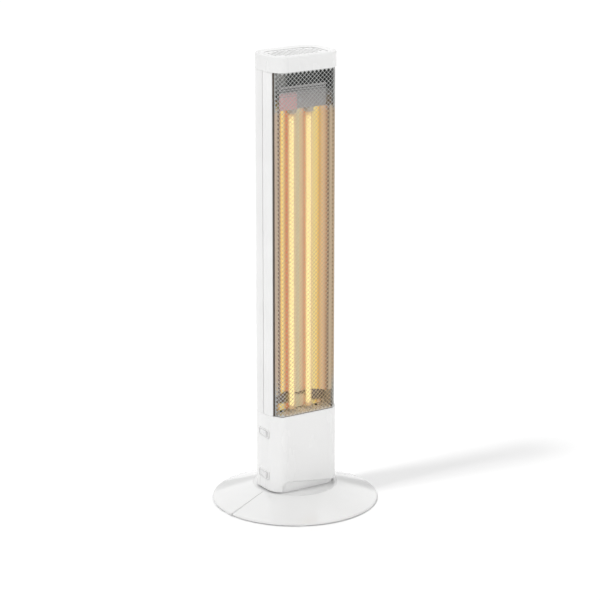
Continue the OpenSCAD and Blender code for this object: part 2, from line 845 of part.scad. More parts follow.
// Heat shield: a channel that carries the reflector and the upper bracket
module heat_shield() {
    wing_l = shield_y - mirror_y - sheet_t - fit_gap;
    color("darkgray") difference() {
        translate([0, shield_y, shelf_z]) linear_extrude(cover_h) {
            translate([-wing_x, 0]) square([2 * wing_x, sheet_t]);
            for (x = [-wing_x, wing_x - sheet_t]) translate([x, -wing_l])
                square([sheet_t, wing_l + sheet_t / 2]);
        }
        translate([0, shield_y - 1, lead_z]) rotate([-90, 0, 0])
            cylinder(r = lead_hole_r, h = sheet_t + 2);
    }
}

// Depth coordinate of the trough's face at x, as a parabola about each lamp
function trough(x) = trough_y - pow(abs(x) - lamp_x, 2) / (4 * focal);

// Reflector: two parabolic troughs side by side, with a flange on each edge
module reflector() {
    n = 28;
    xs = [for (k = [0 : n]) -trough_x + 2 * trough_x * k / n];
    edge = wing_x - fit_gap;
    color("lightgray") translate([0, 0, mirror_z0]) linear_extrude(mirror_z1 - mirror_z0) polygon(concat(
        [[-edge, mirror_y]],
        [for (x = xs) [x, trough(x)]],
        [[edge, mirror_y], [edge, mirror_y + sheet_t]],
        [for (k = [n : -1 : 0]) [xs[k], trough(xs[k]) + sheet_t]],
        [[-edge, mirror_y + sheet_t]]
    ));
}

// Plate under the shelf, with two legs up to it, for the lower caps
module lower_lamp_bracket() {
    depth = 2 * (end_cap_r + bracket_lip);
    color("silver") difference() {
        translate([0, lamp_y - depth / 2, low_cap_z - sheet_t]) {
            translate([-leg_x, 0, 0]) cube([2 * leg_x, depth, sheet_t]);
            for (x = [-leg_x, leg_x - sheet_t]) translate([x, 0, 0])
                cube([sheet_t, depth, shelf_z - shelf_t - low_cap_z + sheet_t]);
        }
        for (s = [-1, 1]) translate([s * lamp_x, lamp_y, 0]) cylinder(r = lead_hole_r, h = far);
    }
}

// Plate above the upper caps, with a bar along its front
module upper_lamp_bracket() {
    w = wing_x - sheet_t - fit_gap;
    color("silver") difference() {
        translate([-w, bar_y, bracket_z]) {
            cube([2 * w, shield_y - bar_y, sheet_t]);
            cube([2 * w, sheet_t, bar_h]);
        }
        for (s = [-1, 1]) translate([s * lamp_x, lamp_y, 0]) cylinder(r = lead_hole_r, h = far);
    }
}

module lamp_tube(s) {
    translate([s * lamp_x, lamp_y, lamp_z0]) difference() {
        cylinder(r = lamp_r, h = lamp_z1 - lamp_z0);
        translate([0, 0, tube_end]) cylinder(r = lamp_r - lamp_wall, h = lamp_z1 - lamp_z0 - 2 * tube_end);
    }
}

module left_lamp_tube() {
    color("lightyellow") lamp_tube(-1);
}

module right_lamp_tube() {
    color("lightyellow") lamp_tube(1);
}

module filament(s) {
    translate([s * lamp_x, lamp_y, lamp_z0 + tube_end])
        cylinder(r = lamp_r - lamp_wall - 1, h = lamp_z1 - lamp_z0 - 2 * tube_end);
}

module left_filament() {
    color("orange") filament(-1);
}

module right_filament() {
    color("orange") filament(1);
}

// Ceramic caps on the ends of both tubes
module lamp_end_caps() {
    color("ivory") for (s = [-1, 1]) translate([s * lamp_x, lamp_y, 0]) {
        translate([0, 0, low_cap_z]) difference() {
            cylinder(r = end_cap_r, h = end_cap_h);
            translate([0, 0, end_cap_h - end_cap_depth]) cylinder(r = lamp_r + fit_gap, h = far);
        }
        translate([0, 0, bracket_z - end_cap_h]) difference() {
            cylinder(r = end_cap_r, h = end_cap_h);
            translate([0, 0, -eps]) cylinder(r = lamp_r + fit_gap, h = end_cap_depth + eps);
        }
    }
}

// Thermal cut-out: a round can on the upper bracket
module thermal_cutout() {
    color("gainsboro") translate([0, cutout_y, bracket_z + sheet_t]) {
        cylinder(r = cutout_r, h = cutout_h - 4);
        cylinder(r = cutout_r - 2, h = cutout_h);
    }
}

// Terminal block on a bridge across the neck's flange
module terminal_block() {
    color("beige") translate([0, block_y, neck_z]) {
        translate([-block_w / 2, -block_d / 2, 0]) cube([block_w, block_d, block_h]);
        translate([-bridge_w / 2, 0, 0]) cube([bridge_w, hd - neck_inset - 1 - block_y, bridge_t]);
    }
}

// Wire along straight runs with ball bends
module wire(path) {
    for (k = [0 : len(path) - 2]) {
        run = path[k + 1] - path[k];
        translate(path[k])
            rotate([0, acos(run[2] / norm(run)), atan2(run[1], run[0])])
            cylinder(r = lead_r, h = norm(run), $fn = 16);
    }
    for (k = [1 : len(path) - 2]) translate(path[k]) sphere(lead_bend_r, $fn = 16);
}

// Leads from the block to the lower caps and, through the cut-out, to the upper caps
module lamp_leads() {
    low = low_cap_z - fit_gap;
    high = bracket_z + fit_gap;
    top = bracket_z + sheet_t + cutout_h + fit_gap;
    block = neck_z + block_h + fit_gap;
    loop = 12;
    color("firebrick") {
        for (s = [-1, 1]) {
            wire([[s * lamp_x, lamp_y, low], [s * lamp_x, lamp_y, low - loop],
                  [s * lead_x, block_y, block + loop + 4], [s * lead_x, block_y, block]]);
            wire([[s * lamp_x, lamp_y, high], [s * lamp_x, lamp_y, top + 3],
                  [s * cutout_r / 2, cutout_y, top + 3], [s * cutout_r / 2, cutout_y, top]]);
        }
        wire([[0, cutout_y, top], [0, cutout_y, lead_z], [0, block_y, lead_z], [0, block_y, block]]);
    }
}

// Plate that closes the back of the lower housing, held by a flange inside the wall
module cord_plate() {
    w = cord_plate_w - 2 * fit_gap;
    h = cord_plate_h - 2 * fit_gap;
    color("white") translate([0, hd, gland_z]) difference() {
        union() {
            translate([-w / 2, -cord_back, -h / 2]) cube([w, cord_back, h]);
            translate([-w / 2 - cord_flange, -cord_back, -h / 2 - cord_flange])
                cube([w + 2 * cord_flange, cord_flange_t, h + 2 * cord_flange]);
        }
        rotate([90, 0, 0]) translate([0, 0, -far / 2]) cylinder(r = gland_r, h = far);
    }
}

// Bushing for the mains cord in that plate
module cable_gland() {
    color("black") translate([0, hd, gland_z]) rotate([-90, 0, 0]) difference() {
        union() {
            translate([0, 0, fit_gap]) cylinder(r = gland_r + gland_lip, h = 2.5);
            translate([0, 0, -cord_back - 1]) cylinder(r = gland_r - fit_gap, h = cord_back + 2);
            translate([0, 0, -cord_back - 3]) cylinder(r = gland_r + 1, h = 3 - fit_gap);
        }
        translate([0, 0, -far / 2]) cylinder(r = gland_bore, h = far);
    }
}

// Switch: a bezel and a box through the wall, with a well for the rocker
module switch_body(z) {
    translate([0, -switch_v, z]) difference() {
        union() {
            translate([-hw - bezel_t, -bezel_l / 2, -bezel_h / 2]) cube([bezel_t, bezel_l, bezel_h]);
            translate([-hw, -body_l / 2, -body_h / 2]) cube([body_depth, body_l, body_h]);
            for (y = [-7, 0, 7]) translate([body_in - eps, y - blade[1] / 2, -blade[2] / 2]) cube(blade);
        }
        translate([-hw - bezel_t - 1, -window_l / 2, -window_h / 2])
            cube([bezel_t + 1 + pivot_in + well_in, window_l, window_h]);
        translate([pivot_x, 0, -far / 2]) cylinder(r = pin_r + run_fit, h = far);
    }
}

module upper_switch() {
    color("white") switch_body(switch_high);
}

module lower_switch() {
    color("white") switch_body(switch_low);
}

// Rocker: two faces in a shallow V on a barrel, tilted so that its front end stands out
module rocker(z) {
    pin_l = body_h - 0.6;
    front = 5.2;
    end = rocker_l / 2;
    translate([pivot_x, -switch_v, z]) rotate(-rocker_tilt) {
        translate([0, 0, -rocker_h / 2]) linear_extrude(rocker_h) {
            polygon([[-front, -end], [1 - front, 0], [-front, end], [-1.5, end],
                     [2, 3], [2, -3], [-1.5, -end]]);
            circle(barrel_r);
        }
        translate([0, 0, -pin_l / 2]) cylinder(r = pin_r, h = pin_l);
    }
}

module upper_rocker() {
    color("gainsboro") rocker(switch_high);
}

module lower_rocker() {
    color("gainsboro") rocker(switch_low);
}

module housing_screws() {
    color("silver") {
        for (s = [-1, 1], p = [front_boss, back_boss])
            translate([s * p[0], p[1], neck_z - flange_t]) screw(flange_t + housing_grip);
        for (s = [-1, 1])
            translate([s * cover_boss[0], cover_boss[1], shelf_z - shelf_t]) screw(shelf_t + cover_grip);
        for (sx = [-1, 1], sy = [-1, 1])
            translate([sx * neck_boss[0], sy * neck_boss[1], disc_z]) screw(disc_t + neck_grip);
    }
}

base_front_half();
base_rear_half();
ballast_plate();
rubber_feet();
base_screws();
swivel_socket();
drive_yoke();
tilt_switch();
tilt_plunger();
turntable();
thrust_washer();
retaining_ring();
neck();
swing_motor();
crank_arm();
crank_roller();
lower_housing();
rear_cover();
left_side_trim();
right_side_trim();
top_cap();
top_vent();
front_grille();
heat_shield();
reflector();
lower_lamp_bracket();
upper_lamp_bracket();
left_lamp_tube();
right_lamp_tube();
left_filament();
right_filament();
lamp_end_caps();
thermal_cutout();
terminal_block();
lamp_leads();
cord_plate();
cable_gland();
upper_switch();
lower_switch();
upper_rocker();
lower_rocker();
housing_screws();
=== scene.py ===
"""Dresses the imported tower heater: shells, grille, lamps, swivel base, finishes and studio.

Sizes are in millimetres in the part's frame: +Z up, the grille faces -Y, and the origin lies
on the floor under the swing axis. Meshes are written in metres.
"""

import logging
import math
from dataclasses import dataclass, field
from enum import Enum
from typing import Any, Callable, Sequence

import bmesh
import bpy
import numpy as np
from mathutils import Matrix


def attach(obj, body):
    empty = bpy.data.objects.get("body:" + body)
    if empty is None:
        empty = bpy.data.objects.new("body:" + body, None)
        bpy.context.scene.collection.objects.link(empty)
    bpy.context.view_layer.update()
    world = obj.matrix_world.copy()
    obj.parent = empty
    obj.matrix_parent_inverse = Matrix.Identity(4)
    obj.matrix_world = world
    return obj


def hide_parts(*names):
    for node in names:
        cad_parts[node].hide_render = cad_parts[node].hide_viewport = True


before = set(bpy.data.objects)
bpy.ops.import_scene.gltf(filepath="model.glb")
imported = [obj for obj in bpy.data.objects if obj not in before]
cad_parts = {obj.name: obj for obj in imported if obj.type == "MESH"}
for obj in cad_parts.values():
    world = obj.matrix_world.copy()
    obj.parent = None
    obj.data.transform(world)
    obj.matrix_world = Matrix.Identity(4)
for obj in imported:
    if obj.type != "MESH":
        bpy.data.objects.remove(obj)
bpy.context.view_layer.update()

MM = 0.001
log = logging.getLogger("heater")


# Shader expressions


def _operator(operation: str, swapped: bool = False) -> Callable:
    """Makes the method of a term for one operation of the Math node.

    Args:
        operation: The operation.
        swapped: Whether the other value stands in front of the term.

    Returns:
        The method.
    """

    def method(self: "Term", other: Any) -> "Term":
        """Combines the term with another value."""
        pair = (other, self) if swapped else (self, other)
        return self.compute(operation, *pair)

    return method


class Term:
    """A socket's value in a material, which Python's operators can combine."""

    __add__, __radd__ = _operator("ADD"), _operator("ADD", True)
    __sub__, __rsub__ = _operator("SUBTRACT"), _operator("SUBTRACT", True)
    __mul__, __rmul__ = _operator("MULTIPLY"), _operator("MULTIPLY", True)
    __truediv__, __rtruediv__ = _operator("DIVIDE"), _operator("DIVIDE", True)

    def __init__(self, recipe: "Recipe", socket: Any) -> None:
        """Keeps the recipe and the output socket that gives the value."""
        self.recipe = recipe
        self.socket = socket

    def compute(self, operation: str, *values: Any) -> "Term":
        """Adds one Math node for an operation on one or two values and returns its result."""
        return self.recipe.node("ShaderNodeMath", {"operation": operation}, dict(enumerate(values)))

    def __neg__(self) -> "Term":
        """The value with its sign turned."""
        return 0.0 - self

    def __abs__(self) -> "Term":
        """Size of the value without its sign."""
        return self.compute("ABSOLUTE", self)

    def step(self, low: float, high: float) -> "Term":
        """A smooth rise from 0 at low to 1 at high."""
        smooth = {"interpolation_type": "SMOOTHSTEP"}
        return self.recipe.node("ShaderNodeMapRange", smooth, {0: self, 1: low, 2: high})

    def between(self, rise: tuple[float, float], fall: tuple[float, float]) -> "Term":
        """1 from the end of the rise to the start of the fall, and 0 beyond them."""
        return self.step(*rise) * (1.0 - self.step(*fall))


class Recipe:
    """One material's node tree, with its Principled shader."""

    def __init__(self, name: str) -> None:
        """Makes an empty material with one Principled shader.

        Args:
            name: Name of the material.
        """
        self.material = bpy.data.materials.new(name)
        self.material.use_nodes = True
        self.tree = self.material.node_tree
        self.shader = self.tree.nodes["Principled BSDF"]
        self._place: Term | None = None

    def node(
        self, kind: str, settings: dict | None = None, inputs: dict | None = None, out: int = 0
    ) -> Term:
        """Adds a node.

        Args:
            kind: The node's type.
            settings: Its own settings, set first; "stops" gives a ramp's positions and colours.
            inputs: Values or terms for its sockets, by name or number.
            out: Number of the output that is wanted.

        Returns:
            The term for that output.
        """
        made = self.tree.nodes.new(kind)
        for key, value in (settings or {}).items():
            if key == "stops":
                self._set_stops(made.color_ramp, value)
            else:
                setattr(made, key, value)
        for key, value in (inputs or {}).items():
            self._feed(made.inputs[key], value)
        return Term(self, made.outputs[out])

    def _feed(self, socket: Any, value: Any) -> None:
        """Links a term to a socket, or sets a plain value on it.

        Args:
            socket: The input socket.
            value: The term or value.
        """
        if isinstance(value, Term):
            self.tree.links.new(value.socket, socket)
        else:
            socket.default_value = value

    @staticmethod
    def _set_stops(ramp: Any, stops: Sequence) -> None:
        """Sets a ramp's stops.

        Args:
            ramp: The node's colour ramp.
            stops: Pairs of position and colour.
        """
        while len(ramp.elements) < len(stops):
            ramp.elements.new(0.5)
        for element, (position, colour) in zip(ramp.elements, stops):
            element.position = position
            element.color = (*colour, 1.0)

    @property
    def place(self) -> Term:
        """Object coordinates, which are metres in the part's frame.

        Returns:
            Their term, made on first use.
        """
        if self._place is None:
            self._place = self.node("ShaderNodeTexCoord", out=3)
        return self._place

    def axis(self, number: int) -> Term:
        """One of the object coordinates: 0, 1 or 2 for X, Y or Z."""
        return self.node("ShaderNodeSeparateXYZ", None, {0: self.place}, out=number)

    def noise(self, scale: float, detail: float = 3.0, stretch: tuple = (1.0, 1.0, 1.0)) -> Term:
        """Cloudy noise from 0 to 1, with features of about 1/scale metres on an unstretched axis."""
        vector = self.node("ShaderNodeMapping", None, {"Vector": self.place, "Scale": stretch})
        return self.node("ShaderNodeTexNoise", None, {"Vector": vector, "Scale": scale, "Detail": detail})

    def mix(self, factor: Any, a: Any, b: Any) -> Term:
        """Blends two colours.

        Args:
            factor: Share of the second colour, from 0 to 1.
            a: First colour, plain or a term.
            b: Second colour, likewise.

        Returns:
            The blend.
        """
        a = a if isinstance(a, Term) else (*a, 1.0)
        b = b if isinstance(b, Term) else (*b, 1.0)
        return self.node("ShaderNodeMix", {"data_type": "RGBA"}, {0: factor, 6: a, 7: b}, out=2)

    def ramp(self, factor: Term, stops: Sequence) -> Term:
        """Colour looked up along stops of position and colour."""
        return self.node("ShaderNodeValToRGB", {"stops": stops}, {0: factor})

    def bump(self, height: Term, distance: float) -> Term:
        """Normal of a surface whose height varies by a distance in metres."""
        return self.node("ShaderNodeBump", None, {"Height": height, "Distance": distance, "Strength": 1.0})

    def finish(self, **sockets: Any) -> bpy.types.Material:
        """Sets the shader's sockets, named with underscores for spaces.

        Args:
            **sockets: Values or terms, such as Base_Color or Roughness.

        Returns:
            The finished material.
        """
        for name, value in sockets.items():
            if isinstance(value, tuple) and len(value) == 3:
                value = (*value, 1.0)
            self._feed(self.shader.inputs[name.replace("_", " ")], value)
        return self.material


# Finishes


class Finish:
    """A finish: each kind makes its material once and keeps it."""

    _made: dict = {}

    def material(self) -> bpy.types.Material:
        """Looks the finish's material up.

        Returns:
            The material, made on first use.
        """
        if self not in Finish._made:
            Finish._made[self] = self.make()
        return Finish._made[self]

    def make(self) -> bpy.types.Material:
        """Makes the material."""
        raise NotImplementedError


@dataclass(frozen=True)
class Moulding(Finish):
    """Moulded plastic with a faint orange peel, fine grain and softly uneven gloss."""

    name: str
    colour: tuple
    roughness: float = 0.22
    peel: float = 0.00004
    grain: float = 0.000006
    coat: float = 0.0

    def make(self) -> bpy.types.Material:
        """Mixes cloudy tone, peel, grain and rubbed patches.

        Returns:
            The material.
        """
        r = Recipe(self.name)
        dull = tuple(c * 0.955 for c in self.colour)
        cloud = r.noise(11.0, 2.0)
        rubbed = r.noise(46.0, 5.0, (1.0, 1.0, 0.35))
        height = r.noise(170.0, 1.0) * self.peel + r.noise(2600.0, 2.0) * self.grain
        return r.finish(
            Base_Color=r.mix(cloud.step(0.32, 0.72), self.colour, dull),
            Roughness=self.roughness + rubbed.step(0.45, 0.8) * 0.09,
            Normal=r.bump(height, 1.0),
            IOR=1.5,
            Coat_Weight=self.coat,
            Coat_Roughness=0.08,
        )


@dataclass(frozen=True)
class Metal(Finish):
    """Bare or plated sheet and turned pieces: brushed grain, spots and a little tarnish."""

    name: str
    colour: tuple
    tarnish: tuple
    roughness: float = 0.32
    metallic: float = 1.0
    brushed: tuple = (1.0, 1.0, 0.06)

    def make(self) -> bpy.types.Material:
        """Mixes the brushed grain with tarnished patches.

        Returns:
            The material.
        """
        r = Recipe(self.name)
        grain = r.noise(900.0, 3.0, self.brushed)
        patch = r.noise(38.0, 5.0)
        return r.finish(
            Base_Color=r.mix(patch.step(0.4, 0.75), self.colour, self.tarnish),
            Metallic=self.metallic,
            Roughness=self.roughness + grain * 0.14 + patch.step(0.45, 0.8) * 0.08,
            Normal=r.bump(grain, 0.00001),
        )


@dataclass(frozen=True)
class GrilleSteel(Finish):
    """Grey coated steel lattice, brown over the lamps' height except at the lower corners."""

    name: str = "grille_steel"
    colour: tuple = (0.54, 0.55, 0.54)
    band_colour: tuple = (0.58, 0.44, 0.26)
    flange: tuple = (0.64, 0.5, 0.4)
    wall_x: tuple = (0.045, 0.0465)
    brown_band_z: tuple = ((0.135, 0.15), (0.58, 0.59))
    grey_corner_x: tuple = (0.036, 0.042)
    grey_corner_z: tuple = (0.165, 0.21)

    def make(self) -> bpy.types.Material:
        """Mixes the coat's speckle with the brown zone, which leaves out the lower corners.

        Returns:
            The material.
        """
        r = Recipe(self.name)
        speckle = r.noise(700.0, 4.0)
        across, height = abs(r.axis(0)), r.axis(2)
        grey_corner = across.step(*self.grey_corner_x) * (1.0 - height.step(*self.grey_corner_z))
        brown_band = height.between(*self.brown_band_z) * (1.0 - grey_corner)
        grey = r.mix(speckle.step(0.3, 0.7), self.colour, tuple(c * 0.86 for c in self.colour))
        brown = r.mix(across.step(*self.wall_x), self.band_colour, self.flange)
        return r.finish(
            Base_Color=r.mix(brown_band * 0.85, grey, brown),
            Metallic=0.3,
            Roughness=0.36 + speckle * 0.12,
            Normal=r.bump(speckle, 0.00002),
        )


@dataclass(frozen=True)
class MirrorSheet(Finish):
    """Polished sheet with painted reflections of the lamps: upright straw, orange and rose streaks that
    glow.
    """

    name: str = "mirror_sheet"
    half_w: float = 0.05
    glow: float = 1.0
    low: float = 0.1648
    high: float = 0.592
    soft: float = 0.004
    shade_x: tuple = ((0.0325, 0.0365), (0.043, 0.0445))
    rise: float = 0.075
    middle_x: tuple = (0.011, 0.014)
    spread: float = 0.011

    def make(self) -> bpy.types.Material:
        """Paints the lamps' reflections by the distance from the middle plane, and paints shade on the left
        wall.

        Returns:
            The material.
        """
        r = Recipe(self.name)
        drift = (r.noise(26.0, 3.0, (1.0, 1.0, 0.12)) - 0.5) * 0.05
        away = abs(r.axis(0)) / self.half_w + drift
        # Painted reflections of the lamps: colours across the width, outwards from the middle plane.
        painted_lamp_reflections = r.ramp(
            away,
            [
                (0.0, (0.49, 0.46, 0.29)), (0.08, (0.52, 0.42, 0.25)), (0.16, (0.56, 0.4, 0.27)),
                (0.22, (0.5, 0.25, 0.14)), (0.3, (0.52, 0.17, 0.08)), (0.36, (0.53, 0.1, 0.045)),
                (0.42, (0.6, 0.31, 0.1)), (0.5, (0.72, 0.57, 0.23)), (0.57, (0.78, 0.6, 0.17)),
                (0.61, (0.82, 0.54, 0.11)), (0.65, (0.53, 0.25, 0.02)), (0.69, (0.64, 0.41, 0.18)),
                (0.735, (0.58, 0.37, 0.21)), (0.77, (0.44, 0.21, 0.11)), (0.805, (0.1, 0.05, 0.02)),
                (0.845, (0.1, 0.06, 0.03)), (0.885, (0.42, 0.34, 0.24)), (1.0, (0.46, 0.37, 0.26)),
            ],
        )
        ripple = r.noise(60.0, 2.0, (1.0, 1.0, 0.2))
        # Painted reflection band: height, reach and lit mark where the lamps' reflections glow, tilted
        # across the sheet and reaching further near the middle.
        height = r.axis(2) + r.axis(0) * self.rise
        reach = (1.0 - abs(r.axis(0)).step(*self.middle_x)) * self.spread
        lit = (height + reach).step(self.low, self.low + self.soft)
        lit = lit * (1.0 - (height - reach).step(self.high - self.soft, self.high))
        # Painted shade: the outer part of the left wall glows a quarter as much.
        lit = lit * (1.0 - (-r.axis(0)).between(*self.shade_x) * 0.75)
        return r.finish(
            # The sheet's own colour is dark, so the painted reflections give its look.
            Base_Color=r.mix(ripple, (0.13, 0.12, 0.11), (0.18, 0.17, 0.16)),
            Metallic=0.85,
            Roughness=0.26 + ripple * 0.1,
            Normal=r.bump(ripple, 0.0002),
            # Emission paints the reflections, with a faint brown glow outside the band.
            Emission_Color=r.mix(lit, (0.05, 0.03, 0.02), painted_lamp_reflections),
            Emission_Strength=self.glow,
        )


@dataclass(frozen=True)
class ShieldSheet(Finish):
    """Plain sheet behind the lamps, with painted shade: dark above the lamps' header except at the left."""

    name: str = "shield_sheet"
    colour: tuple = (0.56, 0.56, 0.55)
    painted_shade: tuple = (0.09, 0.095, 0.09)
    painted_shade_z: tuple = (0.6055, 0.6115)
    painted_shade_x: tuple = (-0.018, -0.01)

    def make(self) -> bpy.types.Material:
        """Paints shade on the sheet above the header and mottles it.

        Returns:
            The material.
        """
        r = Recipe(self.name)
        mottle = r.noise(45.0, 5.0)
        grain = r.noise(900.0, 3.0, (1.0, 1.0, 0.06))
        plain = r.mix(mottle.step(0.35, 0.75), self.colour, (0.44, 0.42, 0.4))
        # Painted shade: the sheet goes dark above the header, except at the left.
        edge = (r.axis(2) + (mottle - 0.5) * 0.006).step(*self.painted_shade_z)
        edge = edge * (r.axis(0) + (mottle - 0.5) * 0.01).step(*self.painted_shade_x)
        return r.finish(
            Base_Color=r.mix(edge, plain, self.painted_shade),
            Metallic=0.25,
            Roughness=0.45 + grain * 0.12,
            Normal=r.bump(grain, 0.00001),
        )


@dataclass(frozen=True)
class QuartzTube(Finish):
    """Clear quartz: almost open in the middle and denser towards its outline."""

    name: str = "quartz_tube"
    glow: float = 0.14
    lit_z: tuple = ((0.146, 0.152), (0.572, 0.579))

    def make(self) -> bpy.types.Material:
        """Sets the alpha by the angle of view, as a thin glass wall shows it.

        Returns:
            The material.
        """
        r = Recipe(self.name)
        facing = r.node("ShaderNodeLayerWeight", None, {"Blend": 0.35}, out=1)
        haze = r.noise(120.0, 3.0, (1.0, 1.0, 0.2))
        lit = r.axis(2).between(*self.lit_z)
        return r.finish(
            Base_Color=r.mix(haze, (1.0, 0.93, 0.8), (0.95, 0.84, 0.68)),
            Alpha=0.12 + facing * 0.5,
            Roughness=0.04 + haze * 0.05,
            IOR=1.46,
            Emission_Color=r.mix(lit, (0.0, 0.0, 0.0), (0.9, 0.36, 0.12)),
            Emission_Strength=self.glow,
        )


@dataclass(frozen=True)
class GlowingCoil(Finish):
    """Heating coil in full glow, paler in the middle of the lamp than at its ends."""

    name: str = "glowing_coil"
    strength: float = 1.05
    lit_z: tuple = ((0.1465, 0.151), (0.5705, 0.5785))

    def make(self) -> bpy.types.Material:
        """Colours the glow by height, from brown at the ends to pale yellow.

        Returns:
            The material.
        """
        r = Recipe(self.name)
        flicker = r.noise(90.0, 2.0)
        pale = r.mix(flicker, (1.0, 0.86, 0.33), (1.0, 0.9, 0.38))
        return r.finish(
            Base_Color=(0.35, 0.3, 0.25),
            Roughness=0.6,
            Emission_Color=r.mix(r.axis(2).between(*self.lit_z), (0.5, 0.32, 0.15), pale),
            Emission_Strength=self.strength,
        )


class Paint(Enum):
    """The named finishes of the heater."""

    SHELL = Moulding("shell_white", (0.84, 0.84, 0.836), 0.22)
    COVER = Moulding("cover_white", (0.82, 0.82, 0.816), 0.28)
    # The cap's white is a little darker than the shell's as painted shade that tones down its lit top.
    CAP = Moulding("cap_white", (0.82, 0.82, 0.816), 0.26)
    # The base's and the disc's white is darker than the tower's as painted shade that offsets the stronger
    # light on their upward faces.
    BASE = Moulding("base_white", (0.74, 0.74, 0.737), 0.14, coat=0.6)
    DISC = Moulding("disc_white", (0.72, 0.72, 0.718), 0.2, coat=0.4)
    # The neck's white is lighter than the shell's as painted light in the shade under the housing.
    NECK = Moulding("neck_white", (0.86, 0.86, 0.856), 0.3)
    INNER = Moulding("inner_white", (0.66, 0.66, 0.655), 0.4)
    SWITCH = Moulding("switch_white", (0.8, 0.8, 0.795), 0.16)
    ROCKER = Moulding("rocker_white", (0.78, 0.78, 0.78), 0.24)
    BLACK = Moulding("black_moulding", (0.012, 0.012, 0.013), 0.45)
    RED = Moulding("red_moulding", (0.5, 0.06, 0.05), 0.35)
    ACETAL = Moulding("acetal", (0.74, 0.72, 0.66), 0.42)
    CERAMIC = Moulding("ceramic", (0.6, 0.55, 0.48), 0.7, 0.00002, 0.00003)
    SEAL = Moulding("seal_rubber", (0.1, 0.082, 0.068), 0.6)
    MICA = Moulding("mica_sheet", (0.72, 0.45, 0.45), 0.4, 0.00006, 0.00003)
    RUBBER = Moulding("foot_rubber", (0.68, 0.68, 0.68), 0.75, 0.00002, 0.00004)
    WIRE = Moulding("wire_cover", (0.3, 0.3, 0.29), 0.5)
    BALLAST = Metal("ballast_steel", (0.07, 0.07, 0.075), (0.1, 0.09, 0.08), 0.5, 0.2)
    ZINC = Metal("zinc_plate", (0.55, 0.56, 0.57), (0.42, 0.42, 0.4), 0.3)
    BRACKET = Metal("bracket_sheet", (0.43, 0.42, 0.42), (0.38, 0.35, 0.35), 0.4, 0.3)
    MOTOR = Metal("motor_can", (0.5, 0.5, 0.51), (0.4, 0.4, 0.38), 0.34, 1.0, (1.0, 1.0, 0.5))
    GRILLE = GrilleSteel()
    # MIRROR and LOWER_MIRROR glow with painted reflections of the lamps.
    MIRROR = MirrorSheet()
    LOWER_MIRROR = MirrorSheet("lower_mirror", 0.05, 0.9, 0.06, 0.152)
    SHIELD = ShieldSheet()
    QUARTZ = QuartzTube()
    COIL = GlowingCoil()

    @property
    def material(self) -> bpy.types.Material:
        """The finish's material."""
        return self.value.material()


# Surfaces


def grid_faces(rows: int, cols: int, wrap_rows: bool = False, wrap_cols: bool = False) -> np.ndarray:
    """Corner numbers of a grid's faces.

    The point in row i and column j has the number i * cols + j, and a face goes round the
    points (i, j), (i, j+1), (i+1, j+1), (i+1, j).

    Args:
        rows: Number of rows of points.
        cols: Number of columns of points.
        wrap_rows: Whether the last row joins the first.
        wrap_cols: Whether the last column joins the first.

    Returns:
        One row of four numbers for each face.
    """
    i = np.arange(rows if wrap_rows else rows - 1)[:, None]
    j = np.arange(cols if wrap_cols else cols - 1)[None, :]
    i2, j2 = (i + 1) % rows, (j + 1) % cols
    corners = [i * cols + j, i * cols + j2, i2 * cols + j2, i2 * cols + j]
    return np.stack([np.broadcast_to(c, (i.size, j.size)) for c in corners], -1).reshape(-1, 4)


def rounded(corners: Sequence, radii: float | Sequence, steps: int = 5) -> np.ndarray:
    """Closed outline whose corners are rounded.

    At a corner with radius r, the arc starts and ends at r divided by the tangent of half the
    corner's angle away from it. Its points blend those two ends and the corner as a quadratic
    curve whose middle weight is the sine of that half angle, which is a circle's arc.

    Args:
        corners: Pairs of coordinates round the outline.
        radii: One radius, or one for each corner.
        steps: Number of pieces in each rounded corner.

    Returns:
        The outline's points, without a repeat of the first.
    """
    c = np.asarray(corners, float)
    r = np.broadcast_to(np.asarray(radii, float), len(c))
    back, ahead = np.roll(c, 1, 0) - c, np.roll(c, -1, 0) - c
    back_l, ahead_l = np.linalg.norm(back, axis=1), np.linalg.norm(ahead, axis=1)
    back, ahead = back / back_l[:, None], ahead / ahead_l[:, None]
    half = np.arccos(np.clip((back * ahead).sum(1), -1, 1)) / 2
    cut = np.minimum(r / np.tan(half), 0.49 * np.minimum(back_l, ahead_l))
    t = np.linspace(0, 1, steps + 1)[None, :, None]
    a, b = (c + back * cut[:, None])[:, None], (c + ahead * cut[:, None])[:, None]
    pull = 2 * t * (1 - t) * np.sin(half)[:, None, None]
    points = ((1 - t) ** 2 * a + pull * c[:, None] + t**2 * b) / ((1 - t) ** 2 + pull + t**2)
    points = points.reshape(-1, 2)
    keep = np.linalg.norm(points - np.roll(points, 1, 0), axis=1) > 1e-6
    return points[keep]


